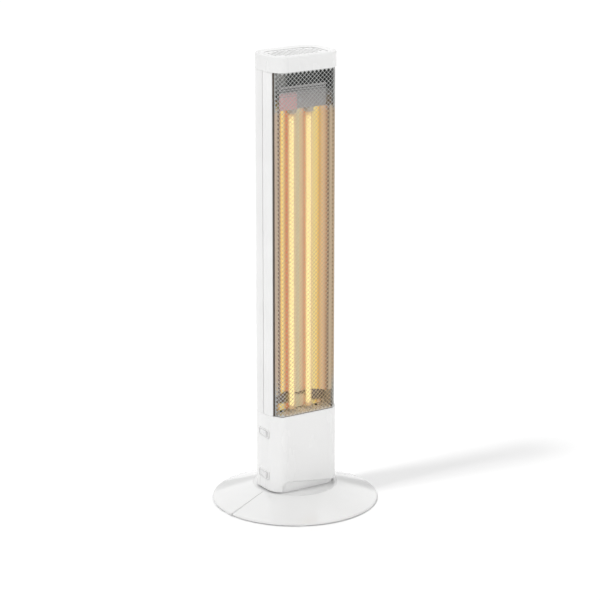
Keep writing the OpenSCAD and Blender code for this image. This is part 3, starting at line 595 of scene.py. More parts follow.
class Shell:
    """Collects surfaces in millimetres and makes one object of them."""

    def __init__(self, name: str) -> None:
        """Starts an empty piece.

        Args:
            name: Name of the piece.
        """
        self.name = name
        self.points: list = []
        self.faces: list = []
        self.count = 0

    def add(self, points: np.ndarray, faces: Any) -> "Shell":
        """Adds points and faces.

        Args:
            points: Points in millimetres, in any grid shape that ends in three coordinates.
            faces: Corner numbers within these points.

        Returns:
            The shell itself.
        """
        flat = np.asarray(points, float).reshape(-1, 3)
        self.points.append(flat)
        if isinstance(faces, np.ndarray):
            self.faces += (faces + self.count).tolist()
        else:
            self.faces += [[k + self.count for k in f] for f in faces]
        self.count += len(flat)
        return self

    def ring(self, points: np.ndarray) -> "Shell":
        """Adds a grid that is closed both ways, such as a closed profile carried round."""
        return self.add(points, grid_faces(points.shape[0], points.shape[1], True, True))

    def bar(self, points: np.ndarray) -> "Shell":
        """Adds a closed profile carried along an open path, with a flat face at each end.

        Args:
            points: Grid with one row for each step of the path and one column for each
                point of the profile.

        Returns:
            The shell itself.
        """
        rows, cols = points.shape[:2]
        faces = grid_faces(rows, cols, False, True).tolist()
        faces += [list(range(cols))[::-1], list(range((rows - 1) * cols, rows * cols))]
        return self.add(points, faces)

    def prism(self, section: np.ndarray, axis: int, levels: Sequence) -> "Shell":
        """Adds a bar of an outline in the two other axes, at levels along axis 0, 1 or 2."""
        return self.bar(np.stack([np.insert(section, axis, level, axis=1) for level in levels]))

    def block(self, low: Sequence, high: Sequence, radius: float) -> "Shell":
        """Adds a box with rounded upright edges and small bevels at its top and bottom.

        Args:
            low: Lowest corner.
            high: Highest corner.
            radius: Radius of the rounded edges.

        Returns:
            The shell itself.
        """
        x0, y0, z0 = low
        x1, y1, z1 = high
        e = radius * 0.4
        full = rounded([(x0, y0), (x1, y0), (x1, y1), (x0, y1)], radius, 4)
        centre = np.array([(x0 + x1) / 2, (y0 + y1) / 2])
        size = np.array([x1 - x0, y1 - y0])
        small = centre + (full - centre) * (1 - 2 * e / size)
        rows = [(small, z0), (full, z0 + e), (full, z1 - e), (small, z1)]
        return self.bar(np.stack([np.insert(p, 2, z, axis=1) for p, z in rows]))

    def thick(self, outer: np.ndarray, inner: np.ndarray, keep: np.ndarray, wrap: bool = False) -> "Shell":
        """Adds a wall between two like grids, with a rim round each opening and edge.

        Args:
            outer: Grid of the outer face.
            inner: Grid of the inner face.
            keep: For each cell of the grid, whether there is wall there.
            wrap: Whether the last column joins the first.

        Returns:
            The shell itself.
        """
        rows, cols = outer.shape[:2]
        cells = grid_faces(rows, cols, False, wrap).reshape(keep.shape + (4,))
        n = rows * cols
        faces = [cells[keep], cells[keep][:, ::-1] + n]
        padded = np.zeros((keep.shape[0] + 2, keep.shape[1] + 2), bool)
        padded[1:-1, 1:-1] = keep
        if wrap:
            padded[1:-1, 0], padded[1:-1, -1] = keep[:, -1], keep[:, 0]
        sides = [
            (padded[:-2, 1:-1], 0, 1), (padded[1:-1, 2:], 1, 2),
            (padded[2:, 1:-1], 2, 3), (padded[1:-1, :-2], 3, 0),
        ]
        for beyond, a, b in sides:
            edge = cells[keep & ~beyond]
            faces.append(np.stack([edge[:, b], edge[:, a], edge[:, a] + n, edge[:, b] + n], -1))
        both = np.concatenate([outer.reshape(-1, 3), inner.reshape(-1, 3)])
        return self.add(both, np.concatenate(faces))

    def make(
        self, paint: Paint, bevel: float = 0.0, weld: bool = True, flat: bool = False
    ) -> bpy.types.Object:
        """Makes the object.

        Args:
            paint: Its finish.
            bevel: Width of the rounding on sharp edges, in millimetres, or 0 for none.
            weld: Whether points that meet are merged and the faces turned outwards.
            flat: Whether the faces are shaded flat.

        Returns:
            The new object, at the origin.
        """
        mesh = bpy.data.meshes.new(self.name)
        points = np.concatenate(self.points) * MM
        mesh.from_pydata(points.tolist(), [], self.faces)
        if weld:
            work = bmesh.new()
            work.from_mesh(mesh)
            bmesh.ops.remove_doubles(work, verts=work.verts, dist=2e-6)
            loose = [v for v in work.verts if not v.link_faces]
            bmesh.ops.delete(work, geom=loose, context="VERTS")
            bmesh.ops.recalc_face_normals(work, faces=work.faces)
            work.to_mesh(mesh)
            work.free()
        mesh.polygons.foreach_set("use_smooth", np.full(len(mesh.polygons), not flat))
        mesh.materials.append(paint.material)
        made = bpy.data.objects.new(self.name, mesh)
        bpy.context.scene.collection.objects.link(made)
        if bevel:
            soft = made.modifiers.new("rounding", "BEVEL")
            soft.width, soft.segments = bevel * MM, 2
            soft.limit_method, soft.angle_limit = "ANGLE", math.radians(38)
        if not flat:
            made.modifiers.new("normals", "WEIGHTED_NORMAL").keep_sharp = True
        log.info("%s: %d faces", self.name, len(mesh.polygons))
        return made


def place(piece: bpy.types.Object, body: str, slot: str, *nodes: str) -> bpy.types.Object:
    """Lets a piece ride on a body and hides the nodes that it stands for.

    Args:
        piece: The new object.
        body: Name of the body.
        slot: Name of the record's material slot; not used.
        *nodes: Names of the nodes that it replaces.

    Returns:
        The piece.
    """
    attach(piece, body)
    if nodes:
        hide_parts(*nodes)
    return piece


def spun(profile: np.ndarray, angles: np.ndarray) -> np.ndarray:
    """Places a profile of radius and height at angles round the Z axis.

    The point at angle a of the profile's point (r, z) is (r cos a, r sin a, z).

    Args:
        profile: Pairs of radius and height.
        angles: Angles, as a column or with one column for each profile point.

    Returns:
        Grid with one row for each angle and one column for each profile point.
    """
    r, z = profile.T
    x, y = r * np.cos(angles), r * np.sin(angles)
    return np.stack([x, y, np.broadcast_to(z, x.shape)], -1)


def turned(profile: Sequence, steps: int) -> np.ndarray:
    """Carries a profile of radius and height once round the Z axis, without a repeated row.

    Args:
        profile: Pairs of radius and height.
        steps: Number of steps round.

    Returns:
        Grid with one row for each step and one column for each profile point.
    """
    p = np.asarray(profile, float)
    a = 2 * math.pi * np.arange(steps)[:, None] / steps
    return spun(p, a)


@dataclass(frozen=True)
class Outline:
    """The tower's plan: straight sides with round corners, tighter at the front."""

    half_w: float = 56.5
    half_d: float = 37.0
    front_r: float = 23.0
    back_r: float = 31.0

    def legs(self) -> np.ndarray:
        """Works out the lengths of the half outline's legs.

        Returns:
            The lengths of the front, corner, side, corner and back.
        """
        return np.array([
            self.half_w - self.front_r, self.front_r * math.pi / 2,
            2 * self.half_d - self.front_r - self.back_r, self.back_r * math.pi / 2,
            self.half_w - self.back_r,
        ])

    @property
    def half_length(self) -> float:
        """Length from the middle of the front to the middle of the back."""
        return float(self.legs().sum())

    def walk(self, s: np.ndarray) -> tuple[np.ndarray, np.ndarray]:
        """Points and outward normals at distances along the outline.

        The distance starts at the middle of the front and grows towards +X. On a straight leg
        the point moves along it; on a corner the normal turns by the distance over the radius.
        Negative distances mirror the positive ones in X.

        Args:
            s: Distances in millimetres.

        Returns:
            Points and unit normals in plan.
        """
        s = np.asarray(s, float)
        d = np.abs(s)
        ends = np.concatenate([[0.0], np.cumsum(self.legs())])
        fa = np.clip((d - ends[1]) / self.front_r, 0, math.pi / 2)
        ba = np.clip((d - ends[3]) / self.back_r, 0, math.pi / 2)
        turn = fa + ba
        normal = np.stack([np.sin(turn), -np.cos(turn)], -1)
        x = np.clip(d, 0, ends[1]) + self.front_r * np.sin(fa) - self.back_r * (1 - np.cos(ba))
        x = x - np.clip(d - ends[4], 0, None)
        y = -self.half_d + self.front_r * (1 - np.cos(fa)) + np.clip(d - ends[2], 0, ends[3] - ends[2])
        y = y + self.back_r * np.sin(ba)
        side = np.where(s < 0, -1.0, 1.0)
        points = np.stack([x * side, y], -1)
        normal[..., 0] = normal[..., 0] * side
        return points, normal

    def at_depth(self, y: float) -> float:
        """Distance along the right side at which the outline is at a depth y."""
        s = np.linspace(0, self.half_length, 40001)
        return float(s[np.argmin(np.abs(self.walk(s)[0][:, 1] - y))])

    def steps(self, low: float, high: float, fine: float = 1.5, extra: Sequence = ()) -> np.ndarray:
        """Spaces distances along the outline, with the legs' ends among them.

        Args:
            low: First distance.
            high: Last distance.
            fine: Widest step.
            extra: Other distances that have to be there.

        Returns:
            The distances.
        """
        ends = np.cumsum(self.legs())
        marks = [0.0, *ends, *(-ends), *extra, low, high]
        inside = np.unique(np.round([m for m in marks if low - 1e-6 <= m <= high + 1e-6], 4))
        counts = [max(2, int(math.ceil((b - a) / fine)) + 1) for a, b in zip(inside, inside[1:])]
        parts = [np.linspace(a, b, n)[:-1] for a, b, n in zip(inside, inside[1:], counts)]
        return np.concatenate([*parts, [high]])

    def sweep(self, s: np.ndarray, inset: np.ndarray, z: np.ndarray) -> np.ndarray:
        """Carries a profile of inset and height along the outline.

        The point for a distance and a profile point is the outline's point, moved inwards
        along its normal by the inset and lifted to the height.

        Args:
            s: Distances, one for each row.
            inset: Insets, for each column or for each row and column.
            z: Heights, likewise.

        Returns:
            Grid of points with one row for each distance.
        """
        points, normal = self.walk(s)
        inset = np.broadcast_to(inset, (len(s), np.shape(inset)[-1]))
        z = np.broadcast_to(z, inset.shape)
        plan = points[:, None] - normal[:, None] * inset[..., None]
        return np.concatenate([plan, z[..., None]], -1)


OUTLINE = Outline()


# Sub-assemblies


@dataclass
class Base:
    """Dish in two halves with a seam, ballast plate and rubber feet."""

    radius: float = 121.0
    deck_z: float = 24.0
    open_r: float = 61.4
    rim_top: float = 3.9
    rim_low: float = 1.1
    inner_z: float = 9.3
    foot_h: float = 2.0
    wall: float = 2.4
    seam_angle: float = 8.5
    seam_gap: float = 0.05
    foot_r: float = 10.0
    foot_ring: float = 110.7
    foot_first: float = 28.0
    foot_n: int = 6
    rays: int = 121

    def profile(self) -> np.ndarray:
        """Works out the rounded section of the dish.

        Returns:
            Its points as radius and height.
        """
        slope = (self.deck_z - self.rim_top) / (self.radius - 1 - self.open_r)
        under = self.wall * math.hypot(1, slope)
        inner = self.radius - self.wall
        low = self.deck_z - (inner - self.open_r) * slope - under
        high = self.deck_z - self.wall * slope - under
        corners = [
            (self.open_r, self.deck_z), (self.radius, self.rim_top - 0.2), (self.radius, self.rim_low),
            (inner, self.rim_low), (inner, low), (self.open_r + self.wall, high),
            (self.open_r + self.wall, self.inner_z), (self.open_r, self.inner_z),
        ]
        return rounded(corners, [0.2, 1.5, 0.5, 0.3, 0.5, 0.5, 0.3, 0.3], 6)

    def half(self, name: str, front: bool) -> bpy.types.Object:
        """Makes one half, which stops at half the gap from the seam's plane.

        At radius r the half starts at the angle whose sine is half the gap over r.

        Args:
            name: Name of the piece.
            front: Whether it is the front half.

        Returns:
            The new object.
        """
        p = self.profile()
        t = np.linspace(0, 1, self.rays)[:, None]
        miss = np.arcsin(self.seam_gap / 2 / p[:, 0])[None, :]
        a = miss + (math.pi - 2 * miss) * t + math.radians(self.seam_angle) + (math.pi if front else 0.0)
        return Shell(name).bar(spun(p, a)).make(Paint.BASE)

    def feet(self) -> bpy.types.Object:
        """Rubber feet: short turned pads with a rounded rim and a shallow hollow below.

        Returns:
            The new object.
        """
        steps = 40
        profile = [
            (0.0, 0.7), (5.6, 0.7), (6.2, 0.1), (6.8, 0.0), (9.5, 0.0), (9.85, 0.12), (self.foot_r, 0.4),
            (self.foot_r, 1.3), (self.foot_r, self.foot_h), (0.0, self.foot_h),
        ]
        grid = turned(profile, steps)
        shell = Shell("feet")
        for k in range(self.foot_n):
            a = math.radians(self.foot_first + 360 * k / self.foot_n)
            move = np.array([-math.sin(a), -math.cos(a), 0.0]) * self.foot_ring
            shell.add(grid + move, grid_faces(steps, len(profile), True, False))
        return shell.make(Paint.RUBBER)

    def build(self) -> None:
        """Makes the halves and the feet."""
        place(self.half("base_front", True), "base", "white_plastic", "base_front_half")
        place(self.half("base_rear", False), "base", "white_plastic", "base_rear_half")
        place(self.feet(), "base", "foot_rubber", "rubber_feet")


@dataclass
class Swivel:
    """Turning disc with its hub, and the set-back neck on it."""

    disc_r: float = 61.3
    deck_z: float = 24.0
    disc_t: float = 3.0
    hub_r: float = 18.0
    bore_r: float = 13.0
    hub_foot: float = 4.2
    neck_in: float = 5.0
    neck_wall: float = 2.2
    neck_z: float = 43.0
    flange: tuple = (2.8, 16.0)
    flange_t: float = 2.5
    deck_gap: float = 0.05

    def disc(self) -> bpy.types.Object:
        """Disc and hub as one turned piece.

        Returns:
            The new object.
        """
        low = self.deck_z - self.disc_t
        corners = [
            (self.bore_r, self.hub_foot), (self.hub_r, self.hub_foot), (self.hub_r, low),
            (self.disc_r, low), (self.disc_r, self.deck_z), (self.bore_r, self.deck_z),
        ]
        profile = rounded(corners, [0.3, 0.3, 0.6, 0.3, 0.25, 0.4], 4)
        return Shell("turning_disc").ring(turned(profile, 144)).make(Paint.DISC)

    def neck(self) -> bpy.types.Object:
        """Neck as a closed section carried round the tower's plan, with its flange.

        Returns:
            The new object.
        """
        a, b = self.neck_in, self.neck_in + self.neck_wall
        foot, under, top = self.deck_z + self.deck_gap, self.neck_z - self.flange_t, self.neck_z
        out, back = self.flange
        corners = [
            (a, foot), (a, under), (out, under), (out, top),
            (back, top), (back, under), (b, under), (b, foot),
        ]
        p = rounded(corners, [0.2, 0.8, 0.3, 0.3, 0.3, 0.3, 0.5, 0.2], 3)
        s = OUTLINE.steps(-OUTLINE.half_length, OUTLINE.half_length)[:-1]
        return Shell("neck_wall").ring(OUTLINE.sweep(s, p[:, 0], p[:, 1])).make(Paint.NECK)

    def build(self) -> None:
        """Makes the disc and the neck."""
        place(self.disc(), "tower", "white_plastic", "turntable")
        place(self.neck(), "tower", "white_plastic", "neck")


@dataclass
class Housing:
    """Lower housing with the swept cut over the deck, and the plate round the cord's bushing."""

    low_z: float = 26.0
    top_z: float = 141.0
    wall: float = 2.5
    cut_left: float = 44.0
    cut_high: float = 41.0
    cut_low: float = 30.0
    cut_r: float = 10.0
    cut_run: float = 9.0
    wall_z: tuple = (120.0, 90.0, 60.0)
    shelf_t: float = 2.5
    gland_z: float = 66.0
    plate_half: tuple = (15.6, 13.6)
    bore_r: float = 3.8

    def edge_height(self, s: np.ndarray) -> np.ndarray:
        """Height of the lower edge along the outline.

        It is plain round the back and the sides. Across the front it rises steeply on a
        quarter circle at the left, and falls in a straight line to the right corner.

        Args:
            s: Distances along the outline.

        Returns:
            The heights.
        """
        points, _ = OUTLINE.walk(s)
        right = OUTLINE.half_w - self.cut_run
        a = np.radians(np.arange(180, 85, -6))
        rise_x = -self.cut_left + 0.4 + self.cut_r * (1 + np.cos(a))
        rise_z = self.cut_high - self.cut_r * (1 - np.sin(a))
        fall_x = right + np.array([0.0, 3.0, 5.0, 7.5])
        fall_z = self.cut_low - np.array([0.0, 0.7, 1.5, 2.8])
        knots_x = np.concatenate([[-self.cut_left], rise_x, fall_x, [OUTLINE.half_w]])
        knots_z = np.concatenate([[self.low_z], rise_z, fall_z, [self.low_z]])
        front = points[:, 1] < -OUTLINE.half_d + OUTLINE.front_r + 0.01
        return np.where(front, np.interp(points[:, 0], knots_x, knots_z), self.low_z)

    def body(self) -> bpy.types.Object:
        """Wall, rounded edges and shelf as one profile carried round the plan.

        The profile runs from the shelf's middle out over the rounded top edge, down the wall,
        round the lower edge and up inside. Its points at the lower edge stand above the edge's
        own height, and the others keep their heights.

        Returns:
            The new object.
        """
        half = OUTLINE.half_length
        left = -(OUTLINE.half_w - OUTLINE.front_r)
        steep = [*(left - 12.4 + 0.25 * np.arange(14)), *(left - 9 + 0.7 * np.arange(13))]
        s = OUTLINE.steps(-half, half, 1.5, steep)[:-1]
        w, t, under = self.wall, self.top_z, self.top_z - self.shelf_t
        outside = [
            (30.0, t), (20.0, t), (10.0, t), (4.0, t), (1.0, t), (0.35, t - 0.3), (0.0, t - 0.9),
            *((0.0, z) for z in self.wall_z),
        ]
        rim = [
            (0.0, 9.0), (0.0, 3.0), (0.0, 0.9), (0.35, 0.25), (0.8, 0.0), (w - 0.5, 0.0), (w, 0.4), (w, 3.0),
        ]
        inside = [(w, self.wall_z[-1]), (w, under - 1.0), (w + 4, under), (20.0, under), (30.0, under)]
        inset, z = np.array(outside + rim + inside).T
        number = np.arange(len(z)) - len(outside)
        follows = (number >= 0) & (number < len(rim))
        grid_z = z + self.edge_height(s)[:, None] * follows
        return Shell("housing").ring(OUTLINE.sweep(s, inset, grid_z)).make(Paint.SHELL)

    def cord_plate(self) -> bpy.types.Object:
        """Plate in the back that carries the bushing, with a fine gap round it.

        Returns:
            The new object.
        """
        w, h = self.plate_half
        outline = rounded([(-w, -h), (w, -h), (w, h), (-w, h)], 2.0, 5)
        rows = [(0.97, -2.0), (0.97, 0.0), (1.0, 0.35), (1.0, 0.6), (0.975, 0.9)]
        centre = np.array([0.0, self.gland_z])
        grid = [np.insert(outline * k + centre, 1, OUTLINE.half_d + out, axis=1) for k, out in rows]
        return Shell("cord_plate_cover").bar(np.stack(grid)).make(Paint.COVER)

    def gland(self) -> bpy.types.Object:
        """Bushing turned round the cord's axis, with a rounded collar and an open bore.

        Returns:
            The new object.
        """
        corners = [
            (self.bore_r, -6.5), (7.0, -6.5), (7.0, -4.2), (5.9, -4.2),
            (5.9, 1.0), (8.0, 1.0), (7.6, 2.6), (self.bore_r, 2.6),
        ]
        profile = rounded(corners, [0.3, 0.4, 0.3, 0.2, 0.2, 0.4, 0.7, 0.9], 4)
        x, z, out = np.moveaxis(turned(profile, 48), -1, 0)
        points = np.stack([x, out + OUTLINE.half_d, z + self.gland_z], -1)
        return Shell("cord_bushing").ring(points).make(Paint.BLACK)

    def build(self) -> None:
        """Makes the housing, the plate and the bushing."""
        place(self.body(), "tower", "white_plastic", "lower_housing")
        place(self.cord_plate(), "tower", "white_plastic", "cord_plate")
        place(self.gland(), "tower", "black_plastic", "cable_gland")


@dataclass
class Covers:
    """Rear cover with its air slots, the two side trims and the cap."""

    low_z: float = 141.0
    high_z: float = 642.35
    top_z: float = 665.0
    wall: float = 2.2
    groove: float = 4.0
    groove_w: float = 1.2
    trim_v: float = 24.0
    trim_draw: float = 1.5
    draw_w: float = 11.0
    lip_y: float = 4.0
    slot_w: float = 44.0
    slot_h: float = 3.0
    slot_pitch: float = 8.0
    slot_n: int = 9
    slot_end: float = 32.0
    cap_z: float = 642.4
    cap_round: float = 3.8
    cap_side: float = 2.8
    dip_in: float = 3.2
    dip_w: float = 4.2
    dip_h: float = 1.7
    vent_in: float = 12.0

    def slots(self) -> list[tuple[float, float]]:
        """Works out where the air slots are, in a lower and an upper group.

        Returns:
            The heights of each slot's lower and upper edge.
        """
        group = (self.slot_n - 1) * self.slot_pitch + self.slot_h
        starts = [self.low_z + self.slot_end, self.high_z - self.slot_end - group]
        lows = [z + k * self.slot_pitch for z in starts for k in range(self.slot_n)]
        return [(z, z + self.slot_h) for z in lows]

    def rear(self) -> bpy.types.Object:
        """Rear cover as a wall between two offset surfaces, open at the slots.

        Returns:
            The new object.
        """
        side = OUTLINE.at_depth(-self.groove + self.groove_w / 2)
        half = OUTLINE.half_length
        slot_s = half - self.slot_w / 2
        s = OUTLINE.steps(side, 2 * half - side, 2.0, [half, slot_s, 2 * half - slot_s])
        signed = np.where(s > half, s - 2 * half, s)
        slots = self.slots()
        marks = np.unique(np.round([self.low_z, self.high_z, *[z for pair in slots for z in pair]], 3))
        gaps = [np.linspace(a, b, max(2, int((b - a) / 30) + 2))[:-1] for a, b in zip(marks, marks[1:])]
        z = np.concatenate([*gaps, [self.high_z]])
        middle = (s[:-1] + s[1:]) / 2
        inside = (middle > slot_s) & (middle < 2 * half - slot_s)
        height = (z[:-1] + z[1:]) / 2
        open_row = np.any([(height > a) & (height < b) for a, b in slots], 0)
        keep = ~(open_row[:, None] & inside[None, :])
        outer = OUTLINE.sweep(signed, np.zeros(len(z)), z).transpose(1, 0, 2)
        inner = OUTLINE.sweep(signed, np.full(len(z), self.wall), z).transpose(1, 0, 2)
        return Shell("rear_shell").thick(outer, inner, keep).make(Paint.COVER, bevel=0.45)

    def trim(self, name: str, side: int) -> bpy.types.Object:
        """Side trim: the strip beside the grille with a lip behind the rear cover.

        Near its front edge the strip draws in from the tower's plan along a smooth step.

        Args:
            name: Name of the piece.
            side: 1 for +X and -1 for -X.

        Returns:
            The new object.
        """
        front = OUTLINE.at_depth(-self.trim_v)
        back = OUTLINE.at_depth(-self.groove - self.groove_w / 2)
        lip = OUTLINE.at_depth(self.lip_y)
        shell = Shell(name)
        z = np.linspace(self.low_z, self.high_z, 9)
        strip = (front, back, 0.0, self.wall)
        overlap = (back - 4, lip, self.wall + 0.1, self.wall + 1.7)
        for a, b, outer_in, inner_in in (strip, overlap):
            s = OUTLINE.steps(a, b, 1.2)
            t = np.clip((s - front) / self.draw_w, 0, 1)
            draw = (self.trim_draw * (1 - t * t * (3 - 2 * t)))[:, None] + np.zeros(len(z))
            outer = OUTLINE.sweep(s * side, draw + outer_in, z).transpose(1, 0, 2)
            inner = OUTLINE.sweep(s * side, draw + inner_in, z).transpose(1, 0, 2)
            shell.thick(outer, inner, np.ones((len(z) - 1, len(s) - 1), bool))
        return shell.make(Paint.SHELL, bevel=0.5)

    def cap(self) -> bpy.types.Object:
        """Cap as one closed section carried round: wall, round shoulder, dip and throat.

        The shoulder is a quarter ellipse of inset and height, and the dip follows half a wave
        of a cosine from the flat top down to the throat.

        Returns:
            The new object.
        """
        r, t = self.cap_round, self.top_z
        a = np.linspace(0, math.pi / 2, 11)
        shoulder = np.column_stack([self.cap_side * (1 - np.cos(a)), t - r * (1 - np.sin(a))])
        u = np.linspace(0, 1, 7)[1:]
        fall = self.dip_h * (1 - np.cos(math.pi * u)) / 2
        dip = np.column_stack([self.dip_in + self.dip_w * u, t - fall])
        w, low = self.wall, self.cap_z
        tail = np.array([
            (self.vent_in + 0.2, t - 1.72), (self.vent_in + 0.3, t - 2.2), (8.6, t - 2.3), (8.2, t - 2.6),
            (8.0, t - 6.5), (w + 0.3, t - 8.0), (w, t - 9.0), (w, low + 0.5),
            (w - 0.4, low), (0.2, low), (0.0, low + 0.2), (0.0, low + 6),
        ])
        p = np.concatenate([shoulder, dip, tail])
        s = OUTLINE.steps(-OUTLINE.half_length, OUTLINE.half_length, 1.3)[:-1]
        return Shell("cap_shell").ring(OUTLINE.sweep(s, p[:, 0], p[:, 1])).make(Paint.CAP)

    def build(self) -> None:
        """Makes the cover, the trims and the cap."""
        place(self.rear(), "tower", "white_plastic", "rear_cover")
        place(self.trim("left_trim", -1), "tower", "white_plastic", "left_side_trim")
        place(self.trim("right_trim", 1), "tower", "white_plastic", "right_side_trim")
        place(self.cap(), "tower", "white_plastic", "top_cap")


@dataclass
class Grille:
    """Lattice of staggered openings in a sheet that is bent round into a basket with flanges."""

    low_z: float = 141.7
    high_z: float = 642.3
    half_w: float = 47.3
    front_v: float = 35.6
    back_v: float = 25.7
    bend_w: float = 7.0
    bend_d: float = 7.0
    hem_r: float = 0.5
    flange_x: float = 49.9
    sheet: float = 0.8
    cols: int = 17
    rows: int = 82
    open_share: float = 0.78
    tip_x: float = 0.42
    tip_z: float = 0.38
    edge_n: int = 141
    seal_x: float = 51.5
    seal_h: float = 0.65
    seal_d: float = 2.4

    def bend(self) -> tuple[np.ndarray, np.ndarray]:
        """Walks round the bend's quarter ellipse.

        Returns:
            Angles and the lengths walked to them.
        """
        angle = np.linspace(0, math.pi / 2, 181)
        speed = np.hypot(self.bend_w * np.cos(angle), self.bend_d * np.sin(angle))
        walked = np.concatenate([[0.0], np.cumsum((speed[1:] + speed[:-1]) / 2 * angle[1])])
        return angle, walked

    def legs(self) -> tuple[float, float, float, float, float]:
        """Works out the lengths of the half sheet's legs.

        Returns:
            The lengths of the front, bend, side, hem bend and flange.
        """
        side = self.front_v - self.bend_d - self.back_v - self.hem_r
        flange = self.flange_x - self.half_w - self.hem_r
        bend, hem = float(self.bend()[1][-1]), self.hem_r * math.pi / 2
        return self.half_w - self.bend_w, bend, side, hem, flange

    def wrap(self, a: np.ndarray, z: np.ndarray, depth: float) -> np.ndarray:
        """Bends the flat sheet into the basket.

        The distance a from the middle runs straight over the flat front, turns back through
        a quarter ellipse, runs straight along the side, turns outwards through a small
        quarter circle and runs straight over the flange.

        Args:
            a: Distances across the sheet.
            z: Heights.
            depth: How far behind the sheet's face the points lie.

        Returns:
            Points in the part's frame.
        """
        flat, bend, side, hem, _ = self.legs()
        d = np.abs(a)
        angle, walked = self.bend()
        turn = np.interp(d - flat, walked, angle)
        hook = np.clip((d - flat - bend - side) / self.hem_r, 0, math.pi / 2)
        out = np.clip(d - flat - bend - side - hem, 0, None)
        w, r, q = self.bend_w - depth, self.bend_d - depth, self.hem_r + depth
        x = np.clip(d, 0, flat) + w * np.sin(turn) + q * (1 - np.cos(hook)) + out
        y = -self.front_v + self.bend_d - r * np.cos(turn)
        y = y + np.clip(d - flat - bend, 0, side) + q * np.sin(hook)
        return np.stack([np.where(a < 0, -x, x), y, z], -1)

    def lattice(self, shell: Shell) -> None:
        """Adds the lattice.

        Openings are eight-sided and stand in rows half a cell high, every second row moved by
        half a cell. Corners run round each opening from its lower right, and a joint fills the
        space between four openings. Openings that lie on the sheet's edge are filled and cut
        off there.

        Args:
            shell: The piece that it goes into.
        """
        reach = sum(self.legs())
        cell_w, cell_h = 2 * reach / self.cols, (self.high_z - self.low_z) / self.rows
        hx, hz = cell_w / 2 * self.open_share, cell_h / 2 * self.open_share
        cx, cz = self.tip_x, self.tip_z
        octagon = np.array([
            (hx, -cz), (hx, cz), (cx, hz), (-cx, hz), (-hx, cz), (-hx, -cz), (-cx, -hz), (cx, -hz),
        ])
        nx, nz = self.cols + 1, 2 * self.rows + 1
        k, i = np.meshgrid(np.arange(nz), np.arange(nx), indexing="ij")
        odd = k % 2
        a = ((i + 0.5 * odd) * cell_w - reach)[..., None] + octagon[:, 0]
        z = (self.low_z + k * cell_h / 2)[..., None] + octagon[:, 1]
        a, z = np.clip(a, -reach, reach), np.clip(z, self.low_z, self.high_z)
        real = (odd == 0) | (i < self.cols)
        filled = real & ((k == 0) | (k == nz - 1) | ((odd == 0) & ((i == 0) | (i == self.cols))))

        def corner(mask: np.ndarray, di: Any, dk: int, c: int) -> np.ndarray:
            """Number of corner c of the openings that lie di and dk from the masked ones."""
            step = di[mask] if isinstance(di, np.ndarray) else di
            return ((k[mask] + dk) * nx + i[mask] + step) * 8 + c

        def polygons(mask: np.ndarray, *corners: tuple) -> list:
            """Faces through the given corners of each masked opening's neighbours."""
            return np.stack([corner(mask, *c) for c in corners], -1).tolist()

        right, left = odd, odd - 1
        up = real & (k < nz - 1)
        rises = up & (i + right < self.cols + odd)
        falls = up & (i + left >= 0)
        faces = polygons(rises, (0, 0, 1), (right, 1, 6), (right, 1, 5), (0, 0, 2))
        faces += polygons(falls, (0, 0, 4), (0, 0, 3), (left, 1, 0), (left, 1, 7))
        inner = (i + 1 < nx - odd) & real
        middle = (k > 0) & (k < nz - 1)
        below = ((right, -1, 3), (right, -1, 2))
        beside = ((1, 0, 5), (1, 0, 4))
        above = ((right, 1, 7), (right, 1, 6))
        own = ((0, 0, 1), (0, 0, 0))
        faces += polygons(inner & middle, *below, *beside, *above, *own)
        faces += polygons(inner & (k == 0), *beside, *above, *own)
        faces += polygons(inner & (k == nz - 1), *below, *beside, *own)
        faces += polygons((odd == 1) & (i == self.cols - 1), *below, *above, *own)
        under, over = ((left, -1, 3), (left, -1, 2)), ((left, 1, 7), (left, 1, 6))
        faces += polygons((odd == 1) & (i == 0), *under, (0, 0, 5), (0, 0, 4), *over)
        faces += polygons(filled, *[(0, 0, c) for c in range(8)])
        n = nx * nz * 8
        faces += [[v + n for v in f[::-1]] for f in faces]
        holes = real & ~filled
        for c in range(8):
            p, q = corner(holes, 0, 0, c), corner(holes, 0, 0, (c + 1) % 8)
            faces += np.stack([p, q, q + n, p + n], -1).tolist()
        both = [self.wrap(a, z, depth).reshape(-1, 3) for depth in (0.0, self.sheet)]
        shell.add(np.concatenate(both), faces)

    def edges(self, shell: Shell) -> None:
        """Closes the sheet's four cut edges.

        Args:
            shell: The piece that they go into.
        """
        reach = sum(self.legs())
        across = np.linspace(-reach, reach, self.edge_n)
        levels = np.array([self.low_z, self.high_z])
        low, high = np.full(self.edge_n, self.low_z), np.full(self.edge_n, self.high_z)
        right, left = np.full(2, reach), np.full(2, -reach)
        for a, z in ((across, low), (across[::-1], high), (right, levels), (left, levels[::-1])):
            grid = np.stack([self.wrap(a, z, self.sheet), self.wrap(a, z, 0.0)])
            shell.add(grid, grid_faces(2, len(a)))

    def seal(self) -> bpy.types.Object:
        """Black seal: strips between the flanges and the trims, and a line under the grille.

        Returns:
            The new object.
        """
        shell = Shell("grille_seal")
        near, step, back = self.flange_x - 0.8, self.flange_x - 0.3, -self.back_v
        section = rounded([
            (near, back + 0.9), (step, back + 0.9), (step, back + 1.3), (self.seal_x, back + 1.6),
            (self.seal_x, back + 3.6), (near, back + 3.6),
        ], 0.12, 2)
        for side in (-1, 1):
            shell.prism(section * (side, 1), 2, (self.low_z - 0.6, self.high_z))
        reach = sum(self.legs())
        a = np.linspace(-reach, reach, self.edge_n)
        low, high = self.low_z - self.seal_h, self.low_z - 0.02
        rows = ((0.0, low), (0.0, high), (self.seal_d, high), (self.seal_d, low))
        shell.bar(np.stack([self.wrap(a, np.full(len(a), z), d) for d, z in rows], 1))
        return shell.make(Paint.SEAL)

